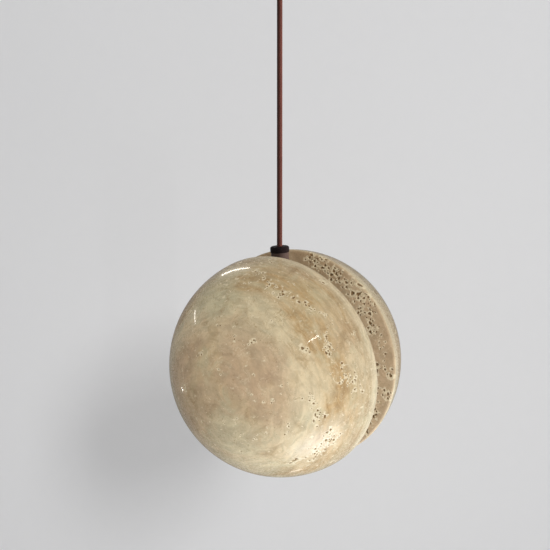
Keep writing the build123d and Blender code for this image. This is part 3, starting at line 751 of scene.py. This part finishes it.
def scatter(pores, rng, spin_low, spin_high, nests, singles):
    """Fill a stretch of the half with nests along the porous layers, on its flat face, and lone small pores."""
    surface = pores.surface
    for _ in range(nests):
        spin = rng.uniform(spin_low, spin_high)
        if rng.random() < 0.6:
            z = rng.choice(POROUS_LEVELS) + rng.normal(0, 3.0)
            r = math.sqrt(max(0.0, (surface.radius * 1000) ** 2 - (z - surface.middle * 1000) ** 2))
            pores.nest((r * math.cos(spin), r * math.sin(spin), z), 5.0, 2.5, int(rng.integers(4, 12)), 0.4, 1.4)
        else:
            r = rng.uniform(79.0, 95.0)
            place = (r * math.cos(spin), r * math.sin(spin), surface.face * 1000)
            pores.nest(place, 3.5, 3.0, int(rng.integers(4, 9)), 0.8, 2.1)
    for _ in range(singles):
        tilt = math.acos(rng.uniform(math.cos(surface.turn), 1.0))
        spin = rng.uniform(0, 2 * math.pi)
        r = surface.radius * 1000 * math.sin(tilt)
        z = surface.middle * 1000 + surface.radius * 1000 * math.cos(tilt)
        pores.nest((r * math.cos(spin), r * math.sin(spin), z), 0.5, 0.5, 1, 0.3, 0.75)


def hidden_profile(stone, mouth, wall):
    """Radius and height of the rings inside the half (recess, ledge, hollow), and the hollow's deepest point."""
    middle = stone.gap / 2 - stone.face_inset
    floor = stone.dome_radius - wall
    start = math.asin(mouth / floor)
    rings = [(stone.seat_radius, stone.ledge_level), (mouth, stone.ledge_level)]
    for tilt in np.linspace(start, 0.0, HOLLOW_ROWS)[:-1]:
        rings.append((floor * math.sin(tilt), middle + floor * math.cos(tilt)))
    return rings, middle + floor


def skin_points(stone, pores):
    """Points for the skin's triangles: the seat's edge first, then the pores' rings and the plain points."""
    surface = pores.surface
    plain, rim = surface.plain_points(stone.spacing)
    close = pores.measure(plain)[3]
    rings = surface.settle(pores.rings())[0]
    radius = np.hypot(rings[:, 0], rings[:, 1])
    at_seat = (rings[:, 2] < surface.face + 1e-6) & (radius < surface.seat + SEAT_MARGIN)
    points = np.concatenate((rim, rings[(radius > 0) & ~at_seat], plain[close > CLEAR_OF_PORE]))
    cell = np.round(points / LEAST_STEP).astype(np.int64)
    _, first = np.unique(cell, axis=0, return_index=True)
    return points[np.union1d(first, np.arange(RIM_POINTS))]


def add_inside(verts, faces, rings, peak):
    """Close a skin with the half's inside, ring by ring from the seat's edge to the peak; returns all the rings."""
    loops = [list(range(RIM_POINTS))]
    for r, z in rings:
        last, start = loops[-1], len(verts)
        verts.extend(ring_points(r, z, RIM_POINTS).tolist())
        ring = list(range(start, start + RIM_POINTS))
        for index in range(RIM_POINTS):
            after = (index + 1) % RIM_POINTS
            faces.append([last[after], last[index], ring[index], ring[after]])
        loops.append(ring)
    last, top = loops[-1], len(verts)
    verts.append([0.0, 0.0, peak])
    for index in range(RIM_POINTS):
        faces.append([last[(index + 1) % RIM_POINTS], last[index], top])
    return loops


def stone_mesh(stone, name, pores, mouth, wall, turn):
    """One closed stone half with its pores cut into the skin, turned upright about the lamp's centre."""
    base, normal, spot = pores.surface.settle(skin_points(stone, pores))
    depth, inside, halo, _ = pores.measure(base)
    made = delaunay_2d_cdt([Vector(place) for place in spot], [], [], 0, 1e-9, True)
    source = [ids[0] for ids in made[3]]
    faces = [[source[corner] for corner in face] for face in made[2]]
    skin_corners = 3 * len(faces)
    verts = (base - normal * depth[:, None]).tolist()
    loops = add_inside(verts, faces, *hidden_profile(stone, mouth, wall))
    upright = np.array(turn).T
    mesh = bpy.data.meshes.new(name)
    mesh.from_pydata((np.array(verts) @ upright).tolist(), [], faces)
    unseen = np.zeros(len(verts) - len(base))
    for label, values in (("pit", inside), ("halo", halo)):
        layer = mesh.attributes.new(label, "FLOAT", "POINT")
        layer.data.foreach_set("value", np.concatenate((values, unseen)).astype(np.float32))
    mesh.shade_smooth()
    seams = {frozenset(pair) for loop in loops[:SHARP_RINGS] for pair in zip(loop, loop[1:] + loop[:1])}
    sharp = mesh.attributes.new("sharp_edge", "BOOLEAN", "EDGE")
    sharp.data.foreach_set("value", [frozenset(edge.vertices) in seams for edge in mesh.edges])
    mesh.update()
    polish_normals(mesh, skin_corners, normal @ upright, inside > 0)
    return mesh


def polish_normals(mesh, skin_corners, normals, in_pore):
    """Give the polished skin the true normals of its shape, so that reflections run smooth over the triangles."""
    corners = np.empty(3 * len(mesh.loops), np.float32)
    mesh.corner_normals.foreach_get("vector", corners)
    corners = corners.reshape(-1, 3)
    owner = np.empty(len(mesh.loops), np.int32)
    mesh.loops.foreach_get("vertex_index", owner)
    skin = np.arange(len(owner)) < skin_corners
    skin[skin] = ~in_pore[owner[skin]]
    corners[skin] = normals[owner[skin]]
    mesh.normals_split_custom_set(corners.tolist())


def stone_material(name, stone, shift, turn):
    """Polished travertine, its layers lying across one half's axis and its noise moved by a shift."""
    made, tree, shader, place = new_material(name)
    own = put(tree, "ShaderNodeMapping", {"vector_type": "TEXTURE"}, Vector=place)
    own.inputs["Rotation"].default_value = turn.to_euler()
    place = own.outputs[0]
    pit = put(tree, "ShaderNodeAttribute", {"attribute_name": "pit"}).outputs["Fac"]
    halo = put(tree, "ShaderNodeAttribute", {"attribute_name": "halo"}).outputs["Fac"]
    out = use_group(
        tree, travertine_group(), Vector=place, Pale=tuple(stone.pale), Tan=tuple(stone.tan),
        Rose=tuple(stone.rose), Umber=tuple(stone.umber), Moss=tuple(stone.moss), Fleck=tuple(stone.fleck),
        Pore=tuple(stone.pore), Pit=pit, Halo=halo, Shift=shift,
    )
    tree.links.new(out["Colour"], shader.inputs["Base Color"])
    tree.links.new(out["Roughness"], shader.inputs["Roughness"])
    shader.inputs["IOR"].default_value = 1.5
    shader.inputs["Specular IOR Level"].default_value = 0.15
    coat = times(tree, spread(tree, pit, 0.05, 0.3, 1.0, 0.0), 0.5)
    tree.links.new(coat, shader.inputs["Coat Weight"])
    shader.inputs["Coat Roughness"].default_value = 0.06
    bump(tree, shader, out["Height"], 0.12, 0.0004)
    return made


class LAMP_OT_stone_halves(bpy.types.Operator):
    """Make both polished stone halves with their pores"""

    bl_idname = "lamp.stone_halves"
    bl_label = "Stone Halves"

    def execute(self, context):
        stone = context.scene.lamp_stone
        self.half(context, "front", FRONT_NESTS, stone.front_mouth, stone.front_wall, spins=(1.15, 5.9), shift=0.0)
        self.half(context, "rear", REAR_NESTS, stone.rear_mouth, stone.rear_wall, spins=(0, 2 * math.pi), shift=0.37)
        return {"FINISHED"}

    def half(self, context, side, nests, mouth, wall, spins, shift):
        """One half: its placed nests, pores scattered between two angles round its axis, and its stone."""
        stone = context.scene.lamp_stone
        front = side == "front"
        rng = np.random.default_rng(stone.seed + (0 if front else REAR_SEED_STEP))
        pores = Pores(Surface(stone), rng)
        for nest in nests:
            pores.nest(*nest)
        scatter(pores, rng, *spins, stone.nests, stone.singles)
        pores.close()
        turn = half_turn(stone, front)
        mesh = stone_mesh(stone, f"{side}_stone_skin", pores, mouth, wall, turn)
        mesh.materials.append(stone_material(f"Travertine {side}", stone, shift, turn))
        piece = bpy.data.objects.new(f"{side}_stone_skin", mesh)
        context.scene.collection.objects.link(piece)
        piece.location = stone.centre
        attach(piece, "lamp")
        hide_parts(f"{side}_stone")


# Cord

BRAID_ROW = 0.0003  # between rows of points along the cord
BRAID_AROUND = 64  # points round the cord


class LAMP_OT_cord(bpy.types.Operator):
    """Make the taut braided cord between the collar and the ceiling fitting"""

    bl_idname = "lamp.cord"
    bl_label = "Braided Cord"

    def execute(self, context):
        cord = context.scene.lamp_cord
        lead = 6 * cord.diameter
        route = [(0, 0, cord.low), (0, 0, cord.low + lead), (0, 0, cord.high - lead), (0, 0, cord.high)]
        curve = bpy.data.curves.new("cord_route", "CURVE")
        curve.dimensions = "3D"
        curve.resolution_u = 12
        line = curve.splines.new("NURBS")
        line.points.add(len(route) - 1)
        for point, place in zip(line.points, route):
            point.co = (*place, 1.0)
        line.order_u = 3
        line.use_endpoint_u = True
        guide = bpy.data.objects.new("cord_route", curve)
        path_mesh = bpy.data.meshes.new_from_object(guide)
        path = [vertex.co.copy() for vertex in path_mesh.vertices]
        bpy.data.objects.remove(guide)
        bpy.data.meshes.remove(path_mesh)
        bpy.data.curves.remove(curve)
        piece = bpy.data.objects.new("cord_braid", self.braid(cord, path))
        context.scene.collection.objects.link(piece)
        piece.data.materials.append(self.material(cord))
        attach(piece, "cord")
        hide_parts("cord")
        return {"FINISHED"}

    def braid(self, cord, path):
        """A tube along the path whose skin rises and falls with the crossing strands."""
        low, high = path[0].z, path[-1].z
        rows = int((high - low) / BRAID_ROW)
        around = BRAID_AROUND
        height = np.linspace(low, high, rows + 1)[:, None]
        spin = (np.arange(around) * 2 * math.pi / around)[None, :]
        turn = cord.strands * spin / (2 * math.pi)
        climb = height / cord.lay
        left, right = turn + climb / 2, turn - climb / 2
        over = np.sin(math.pi * (left + right)) * np.sin(math.pi * (left - right))
        first = np.sqrt(np.clip(1 - (2 * (left % 1.0) - 1) ** 2, 0, 1)) * (0.75 + 0.25 * np.tanh(4 * over))
        second = np.sqrt(np.clip(1 - (2 * (right % 1.0) - 1) ** 2, 0, 1)) * (0.75 - 0.25 * np.tanh(4 * over))
        rise = np.maximum(first, second)
        radius = cord.diameter / 2 - cord.relief * (1 - rise)
        x = radius * np.cos(spin)
        y = radius * np.sin(spin)
        z = np.broadcast_to(height, x.shape)
        verts = np.stack((x, y, z), 2).reshape(-1, 3)
        grid = np.arange((rows + 1) * around).reshape(rows + 1, around)
        ahead = np.roll(grid, -1, axis=1)
        faces = np.stack((grid[:-1], ahead[:-1], ahead[1:], grid[1:]), 2).reshape(-1, 4).tolist()
        ends = len(verts)
        verts = np.concatenate((verts, [[0.0, 0.0, low], [0.0, 0.0, high]]))
        for index in range(around):
            after = (index + 1) % around
            faces.append([int(grid[0, after]), int(grid[0, index]), ends])
            faces.append([int(grid[-1, index]), int(grid[-1, after]), ends + 1])
        mesh = bpy.data.meshes.new("cord_braid")
        mesh.from_pydata(verts.tolist(), [], faces)
        layer = mesh.attributes.new("strand", "FLOAT", "POINT")
        layer.data.foreach_set("value", np.concatenate((rise.ravel(), [0.5, 0.5])).astype(np.float32))
        mesh.shade_smooth()
        mesh.update()
        return mesh

    def material(self, cord):
        """Textile, with painted shade: darker between the strands."""
        made, tree, shader, place = new_material("Braided cord")
        rise = put(tree, "ShaderNodeAttribute", {"attribute_name": "strand"}).outputs["Fac"]
        # Painted shade: darker colour in the valleys between the strands, lighter on their raised tops
        braid_shade = blend(tree, spread(tree, rise, 0.25, 0.95), tuple(cord.valley_shade), tuple(cord.top))
        out = use_group(tree, grain_group(), Vector=place, Colour=braid_shade, Scale=2600.0, Variation=0.5, Gloss=0.7)
        tree.links.new(out["Colour"], shader.inputs["Base Color"])
        tree.links.new(out["Roughness"], shader.inputs["Roughness"])
        shader.inputs["Specular IOR Level"].default_value = 0.2
        bump(tree, shader, out["Height"], 0.4, 0.0001)
        return made


# Finishes on the pieces that come from the solid model


def dress(material, *nodes):
    """Give pieces of the solid model a material in place of their own."""
    for name in nodes:
        slots = frame["nodes"][name].data.materials
        slots.clear()
        slots.append(material)


def turned_metal(name, colour_value, metallic, gloss, pitch, variation, depth, origin=None, tip=0.0):
    """Metal with an uneven finish and fine turning rings, round an axis through origin that leans by tip."""
    made, tree, shader, place = new_material(name)
    if origin is not None:
        local = put(tree, "ShaderNodeMapping", {"vector_type": "TEXTURE"}, Vector=place)
        local.inputs["Location"].default_value = origin
        local.inputs["Rotation"].default_value = (tip, 0.0, 0.0)
        place = local.outputs[0]
    out = use_group(
        tree, grain_group(), Vector=place, Colour=colour_value, Scale=900.0, Variation=variation, Gloss=gloss
    )
    rings = use_group(tree, turned_group(), Vector=place, Pitch=pitch)
    tree.links.new(out["Colour"], shader.inputs["Base Color"])
    rough = times(tree, out["Roughness"], spread(tree, rings["Mask"], 0.0, 1.0, 0.9, 1.15))
    tree.links.new(rough, shader.inputs["Roughness"])
    shader.inputs["Metallic"].default_value = metallic
    height = calc(tree, "ADD", rings["Height"], times(tree, out["Height"], 0.5))
    bump(tree, shader, height, depth, 0.00008)
    return made


def grained(name, colour_value, gloss, scale, variation, depth, metallic=0.0):
    """Plain moulded or brushed finish with fine grain."""
    made, tree, shader, place = new_material(name)
    out = use_group(
        tree, grain_group(), Vector=place, Colour=colour_value, Scale=scale, Variation=variation, Gloss=gloss
    )
    tree.links.new(out["Colour"], shader.inputs["Base Color"])
    tree.links.new(out["Roughness"], shader.inputs["Roughness"])
    shader.inputs["Metallic"].default_value = metallic
    bump(tree, shader, out["Height"], depth, 0.0001)
    return made


class LAMP_OT_bronze(bpy.types.Operator):
    """Finish the collar, neck and ceiling fitting in dark bronze"""

    bl_idname = "lamp.bronze"
    bl_label = "Dark Bronze Pieces"

    def execute(self, context):
        metal = context.scene.lamp_metal
        stone = context.scene.lamp_stone
        collar = {
            "gloss": 0.42, "pitch": 0.0003, "variation": 0.35, "depth": 0.25,
            "origin": tuple(stone.centre), "tip": stone.lean,
        }
        cap = turned_metal("Collar bronze", tuple(metal.bronze), metallic=0.3, **collar)
        neck = turned_metal("Neck bronze", tuple(metal.neck), metallic=0.4, **collar)
        cup = turned_metal(
            "Canopy bronze", tuple(metal.bronze), metallic=0.55, gloss=0.4, pitch=0.0006, variation=0.35, depth=0.2
        )
        cap.node_tree.nodes["Principled BSDF"].inputs["Specular IOR Level"].default_value = 0.25
        dress(cap, "collar_cap")
        dress(neck, "neck_sleeve")
        dress(cup, "canopy_cup", "gland_body")
        return {"FINISHED"}


class LAMP_OT_light_core(bpy.types.Operator):
    """Finish the plates, drum, diffuser and LED pieces between the halves"""

    bl_idname = "lamp.light_core"
    bl_label = "Light Core"

    def execute(self, context):
        metal = context.scene.lamp_metal
        stone = context.scene.lamp_stone
        plates = turned_metal(
            "Plate aluminium", tuple(metal.aluminium), metallic=1.0, gloss=0.38, pitch=0.0009, variation=0.15,
            depth=0.25, origin=tuple(stone.centre), tip=stone.lean + math.pi / 2,
        )
        dress(plates, "front_plate", "rear_plate", "led_drum")
        opal = grained("Opal diffuser", tone(238, 234, 224), gloss=0.42, scale=700.0, variation=0.06, depth=0.05)
        shader = opal.node_tree.nodes["Principled BSDF"]
        shader.inputs["Subsurface Weight"].default_value = 0.25
        shader.inputs["Subsurface Radius"].default_value = (0.004, 0.004, 0.0035)
        dress(opal, "diffuser_ring")
        board = grained("LED board", tone(232, 230, 222), gloss=0.35, scale=900.0, variation=0.1, depth=0.1)
        dress(board, "led_strip")
        lens = grained("LED lens", tone(236, 206, 96), gloss=0.22, scale=1500.0, variation=0.2, depth=0.1)
        dress(lens, "led_chips")
        return {"FINISHED"}


class LAMP_OT_fittings(bpy.types.Operator):
    """Finish the screws, nuts, anchors, driver, wires and terminal pieces"""

    bl_idname = "lamp.fittings"
    bl_label = "Fasteners and Wiring"

    def execute(self, context):
        metal = context.scene.lamp_metal
        steel = grained(
            "Fastener steel", tuple(metal.steel), gloss=0.32, scale=1400.0, variation=0.25, depth=0.2, metallic=1.0
        )
        brass = grained("Brass", tuple(metal.brass), gloss=0.3, scale=1200.0, variation=0.2, depth=0.2, metallic=1.0)
        plastic = grained("White plastic", tone(226, 226, 220), gloss=0.5, scale=1600.0, variation=0.12, depth=0.3)
        cover = grained("Wire cover", tone(122, 74, 52), gloss=0.34, scale=1800.0, variation=0.25, depth=0.1)
        rubber = grained("Grommet rubber", tone(38, 37, 37), gloss=0.72, scale=1500.0, variation=0.3, depth=0.35)
        dress(
            steel, "front_stone_screws", "rear_stone_screws", "front_drum_screws", "rear_drum_screws",
            "driver_screws", "neck_screw", "hanger_tube", "hanger_nuts", "ceiling_bracket", "nipple",
            "nipple_nuts", "block_screws", "earth_screw",
        )
        dress(
            brass, "front_anchors", "rear_anchors", "swivel_bush", "cord_stop", "cord_ferrule", "terminal_screws"
        )
        dress(plastic, "led_driver", "terminal_block")
        dress(cover, "mains_wires", "led_wires", "supply_wires")
        dress(rubber, "wire_grommet")
        return {"FINISHED"}


# Studio

UP = Vector((0, 0, 1))
CORD_PIECES = ("cord_braid", "collar_cap", "neck_sleeve")
WALL_REACH = 3.0  # to each side of the lamp
WALL_TOP = 2.0
FLOOR_RUN = 5.0  # from the wall towards the camera
WALL_DIMMED = 0.6  # share that the wall and floor lose where the polish mirrors them
SKY_DIMMED = 0.55  # the same for the sky
WHITE = (1.0, 1.0, 1.0)
WARM_GLINT = (1.0, 0.95, 0.86)
COOL_BOUNCE = (0.89, 0.985, 1.14)


class Glint(NamedTuple):
    """A lamp that shows only as a glint on the polish, between two places on a dome."""

    name: str
    first: tuple  # place on the half, in mm
    first_way: tuple  # the way that the reflection leaves there
    last: tuple
    last_way: tuple
    distance: float  # from the dome to the lamp
    thick: float
    bright: float
    soft: bool = False  # wide and faded out, on the front half only


GLINTS = (
    Glint(
        "strip", (-29.4, 87.0, 49.1), (-0.756, 0.522, 0.395), (-2.6, 93.5, 45.0), (-0.578, 0.436, 0.69),
        distance=0.24, thick=0.0095, bright=12.0,
    ),
    Glint(
        "dash_left", (-37.8, 60.6, 79.5), (-0.936, 0.152, 0.326), (-32.6, 54.1, 87.0), (-0.945, -0.105, 0.32),
        distance=0.3, thick=0.007, bright=11.5,
    ),
    Glint(
        "dash_right", (65.6, 41.9, 72.1), (0.761, -0.424, 0.491), (70.9, 45.5, 63.6), (0.811, -0.197, 0.552),
        distance=0.8, thick=0.021, bright=29.0,
    ),
    Glint(
        "spot_left", (-41.0, 1.5, 100.4), (-0.952, 0.009, -0.307), (-38.0, -1.0, 101.8), (-0.94, 0.0, -0.34),
        distance=0.3, thick=0.006, bright=20.0,
    ),
    Glint(
        "glow_low", (62.8, -28.1, 82.1), (0.496, -0.235, -0.836), (75.4, -50.1, 52.0), (0.285, 0.498, -0.819),
        distance=0.4, thick=0.5, bright=0.3, soft=True,
    ),
    Glint(
        "edge_low", (36.0, -75.5, 63.5), (-0.267, 0.543, -0.796), (44.0, -74.0, 60.0), (-0.16, 0.55, -0.82),
        distance=0.3, thick=0.010, bright=5.5,
    ),
)


class Stand(NamedTuple):
    """The lamp's centre, with the level directions to the camera's right and back towards the camera."""

    centre: Vector
    right: Vector
    back: Vector

    def around(self, side, lift, distance):
        """A point round the lamp: side is to the right of the camera's line, lift above it, in degrees."""
        turn, rise = math.radians(side), math.radians(lift)
        way = self.right * math.sin(turn) * math.cos(rise) + self.back * math.cos(turn) * math.cos(rise)
        return self.centre + (way + UP * math.sin(rise)) * distance


def sheet_object(context, name, corners, material):
    """A flat stage piece with four corners."""
    mesh = bpy.data.meshes.new(name)
    mesh.from_pydata([tuple(corner) for corner in corners], [], [(0, 1, 2, 3)])
    mesh.materials.append(material)
    made = bpy.data.objects.new(name, mesh)
    context.scene.collection.objects.link(made)
    return made


def plain_wall(name, colour_value):
    """Matt paint that shows from its front only, and dimmer where the polish mirrors it."""
    made, tree, shader, place = new_material(name)
    out = use_group(tree, grain_group(), Vector=place, Colour=colour_value, Scale=60.0, Variation=0.02, Gloss=0.9)
    mirrored = tree.nodes.new("ShaderNodeLightPath").outputs["Is Glossy Ray"]
    dim = blend(tree, times(tree, mirrored, WALL_DIMMED), out["Colour"], (0.0, 0.0, 0.0))
    tree.links.new(dim, shader.inputs["Base Color"])
    shader.inputs["Roughness"].default_value = 0.95
    shader.inputs["Specular IOR Level"].default_value = 0.1
    clear = tree.nodes.new("ShaderNodeBsdfTransparent")
    back = tree.nodes.new("ShaderNodeNewGeometry").outputs["Backfacing"]
    mix = tree.nodes.new("ShaderNodeMixShader")
    tree.links.new(back, mix.inputs[0])
    tree.links.new(shader.outputs[0], mix.inputs[1])
    tree.links.new(clear.outputs[0], mix.inputs[2])
    output = next(node for node in tree.nodes if node.type == "OUTPUT_MATERIAL")
    tree.links.new(mix.outputs[0], output.inputs["Surface"])
    return made


def soft_light(context, name, place, target, width, height, power, along=(0, 0, 1)):
    """A flat light that faces a point, its width running along a direction."""
    data = bpy.data.lights.new(name, "AREA")
    data.shape = "RECTANGLE"
    data.size = width
    data.size_y = height
    data.energy = power
    made = bpy.data.objects.new(name, data)
    context.scene.collection.objects.link(made)
    away = (Vector(place) - Vector(target)).normalized()
    side = (Vector(along) - away * away.dot(Vector(along))).normalized()
    made.matrix_world = Matrix.Translation(place) @ Matrix((side, away.cross(side), away)).transposed().to_4x4()
    made.visible_camera = False
    return made


def collect(name, pieces):
    """A collection for light linking."""
    made = bpy.data.collections.new(name)
    for piece in pieces:
        made.objects.link(piece)
    return made


def fade_out(light):
    """Let a light fade from its middle to its edge."""
    data = light.data
    data.use_nodes = True
    tree = data.node_tree
    across = tree.nodes.new("ShaderNodeNewGeometry").outputs["Parametric"]
    parts = put(tree, "ShaderNodeSeparateXYZ", Vector=across).outputs
    x, y = off_middle(tree, parts[0]), off_middle(tree, parts[1])
    reach = calc(tree, "SQRT", calc(tree, "ADD", times(tree, x, x), times(tree, y, y)))
    glow = next(node for node in tree.nodes if node.type == "EMISSION")
    tree.links.new(spread(tree, reach, 0.0, 0.5, 3.2, 0.0), glow.inputs["Strength"])


class LAMP_OT_studio(bpy.types.Operator):
    """Make the wall, floor, lights and camera"""

    bl_idname = "lamp.studio"
    bl_label = "Studio"

    def execute(self, context):
        scene = context.scene
        pieces = [piece for piece in scene.objects if piece.type == "MESH"]
        stand = self.camera(context)
        wall_at = Vector((stand.centre.x, stand.centre.y, 0.0)) - stand.back * scene.lamp_studio.wall_gap
        wall = self.room(context, stand, wall_at)
        self.lamps(context, stand, wall_at, wall, pieces)
        self.glints(context, stand.centre, pieces)
        self.surroundings(scene)
        scene.view_settings.view_transform = "Standard"
        return {"FINISHED"}

    def camera(self, context):
        """The camera; returns the stand from which the rest of the studio is laid out."""
        scene = context.scene
        studio = scene.lamp_studio
        camera = bpy.data.cameras.new("camera")
        camera.lens = studio.lens
        camera.sensor_width = 36.0
        eye = bpy.data.objects.new("camera", camera)
        scene.collection.objects.link(eye)
        eye.location = studio.eye
        eye.rotation_euler = studio.aim
        scene.camera = eye
        context.view_layer.update()
        right = eye.matrix_world.to_3x3() @ Vector((1, 0, 0))
        return Stand(Vector(scene.lamp_stone.centre), right, right.cross(UP))

    def room(self, context, stand, wall_at):
        """The wall behind the lamp and the floor below it; returns the wall."""
        studio = context.scene.lamp_studio
        far = wall_at + stand.back * FLOOR_RUN
        side = stand.right * WALL_REACH
        floor, top = UP * studio.floor_level, UP * WALL_TOP
        left_foot, right_foot = wall_at - side + floor, wall_at + side + floor
        wall = sheet_object(
            context, "wall", (left_foot, right_foot, wall_at + side + top, wall_at - side + top),
            plain_wall("Wall paint", tuple(studio.wall)),
        )
        sheet_object(
            context, "floor", (left_foot, far - side + floor, far + side + floor, right_foot),
            plain_wall("Floor paint", tuple(studio.floor)),
        )
        return wall

    def lamps(self, context, stand, wall_at, wall, pieces):
        """The soft lamps, each kept to the pieces that it lights and to those that shade it."""
        scene = context.scene
        studio = scene.lamp_studio
        ceiling = frame["record"]["behaviour"]["bodies"]["ceiling_fitting"]
        every = collect("lamp_pieces", pieces)
        hung = collect("hung_pieces", [piece for piece in pieces if piece.name not in ceiling])
        thin = collect("cord_pieces", [piece for piece in pieces if piece.name in CORD_PIECES])
        paint = collect("wall_paint", [wall])
        centre = stand.centre
        cord_middle = Vector((0.0, 0.0, (scene.lamp_cord.low + scene.lamp_cord.high) / 2))
        high_right = stand.around(22.5, 22, 2.6)
        beside_cord = stand.around(78, 4, 0.9) - centre + cord_middle
        below = centre + (stand.right * 0.46 + stand.back * 0.26 - UP * 0.84) * 0.45
        behind = stand.around(180, 16, 2.2)
        near_floor = wall_at + stand.back * 0.75 + UP * (studio.floor_level + 0.12)
        wall_low = wall_at - UP * 0.62
        # Name, place, target, width, height, power, colour, pieces that it lights, pieces that shade it
        for name, place, target, wide, high, power, tint, lit, shading in (
            ("key", high_right, centre, 0.7, 0.45, studio.key, WHITE, None, hung),
            ("bounce", below, centre, 0.5, 0.5, studio.bounce, COOL_BOUNCE, every, None),
            ("side", beside_cord, cord_middle, 0.5, 0.2, studio.side, WHITE, thin, None),
            ("rear", behind, centre, 1.0, 1.0, studio.rear, WHITE, every, every),
            ("wash", near_floor, wall_low, 0.4, 0.4, studio.wash, WHITE, paint, paint),
        ):
            light = soft_light(context, name, place, target, wide, high, power)
            light.data.color = tint
            light.visible_glossy = False
            light.light_linking.receiver_collection = lit
            light.light_linking.blocker_collection = shading

    def glints(self, context, centre, pieces):
        """The glints' lamps for the front half, and again turned half round for the rear half."""
        for side, swing in (("front", 0.0), ("rear", math.pi)):
            front = side == "front"
            turn = half_turn(context.scene.lamp_stone, front)
            half = collect(f"{side}_half", [piece for piece in pieces if piece.name == f"{side}_stone_skin"])
            for glint in GLINTS:
                if front or not glint.soft:
                    light = self.glint(context, glint, side, centre, turn, Matrix.Rotation(swing, 3, "Z"))
                    light.light_linking.receiver_collection = half

    def glint(self, context, glint, side, centre, turn, swing):
        """One lamp, placed where the polish mirrors it between the glint's two places."""
        ends = [
            centre + turn @ (Vector(place) / 1000) + swing @ Vector(way).normalized() * glint.distance
            for place, way in ((glint.first, glint.first_way), (glint.last, glint.last_way))
        ]
        along = ends[1] - ends[0]
        middle = (ends[0] + ends[1]) / 2
        target = centre + turn @ ((Vector(glint.first) + Vector(glint.last)) / 2000)
        power = glint.bright * math.pi * along.length * glint.thick
        light = soft_light(
            context, f"{side}_{glint.name}", middle, target, along.length, glint.thick, power, along=along
        )
        light.visible_diffuse = False
        light.data.color = COOL_BOUNCE if glint.soft else WARM_GLINT
        if glint.soft:
            light.data.spread = math.radians(75)
            fade_out(light)
        return light

    def surroundings(self, scene):
        """Even light from all round, dimmer where the polish mirrors it."""
        world = bpy.data.worlds.new("surroundings")
        scene.world = world
        world.use_nodes = True
        tree = world.node_tree
        shade = tree.nodes["Background"]
        shade.inputs[0].default_value = (*WHITE, 1.0)
        mirrored = tree.nodes.new("ShaderNodeLightPath").outputs["Is Glossy Ray"]
        sky = scene.lamp_studio.sky
        tree.links.new(calc(tree, "MULTIPLY_ADD", mirrored, -SKY_DIMMED * sky, sky), shade.inputs[1])


class LAMP_PT_panel(bpy.types.Panel):
    """Buttons and settings of the lamp, in the sidebar"""

    bl_label = "Pendant Lamp"
    bl_idname = "LAMP_PT_panel"
    bl_space_type = "VIEW_3D"
    bl_region_type = "UI"
    bl_category = "Pendant Lamp"

    def draw(self, context):
        for maker in MAKERS:
            self.layout.operator(maker.bl_idname)
        for name, _ in SETTINGS:
            box = self.layout.box()
            settings = getattr(context.scene, name)
            for setting in settings.__annotations__:
                box.prop(settings, setting)


MAKERS = (LAMP_OT_stone_halves, LAMP_OT_cord, LAMP_OT_bronze, LAMP_OT_light_core, LAMP_OT_fittings, LAMP_OT_studio)
SETTINGS = (
    ("lamp_stone", StoneSettings), ("lamp_cord", CordSettings), ("lamp_metal", MetalSettings),
    ("lamp_studio", StudioSettings),
)


def register():
    for _, group in SETTINGS:
        bpy.utils.register_class(group)
    for maker in (*MAKERS, LAMP_PT_panel):
        bpy.utils.register_class(maker)
    for name, group in SETTINGS:
        setattr(bpy.types.Scene, name, PointerProperty(type=group))


def unregister():
    for name, _ in SETTINGS:
        delattr(bpy.types.Scene, name)
    for maker in (LAMP_PT_panel, *reversed(MAKERS)):
        bpy.utils.unregister_class(maker)
    for _, group in reversed(SETTINGS):
        bpy.utils.unregister_class(group)


def main():
    register()
    bpy.ops.lamp.stone_halves()
    bpy.ops.lamp.cord()
    bpy.ops.lamp.bronze()
    bpy.ops.lamp.light_core()
    bpy.ops.lamp.fittings()
    bpy.ops.lamp.studio()


if __name__ == "__main__":
    main()
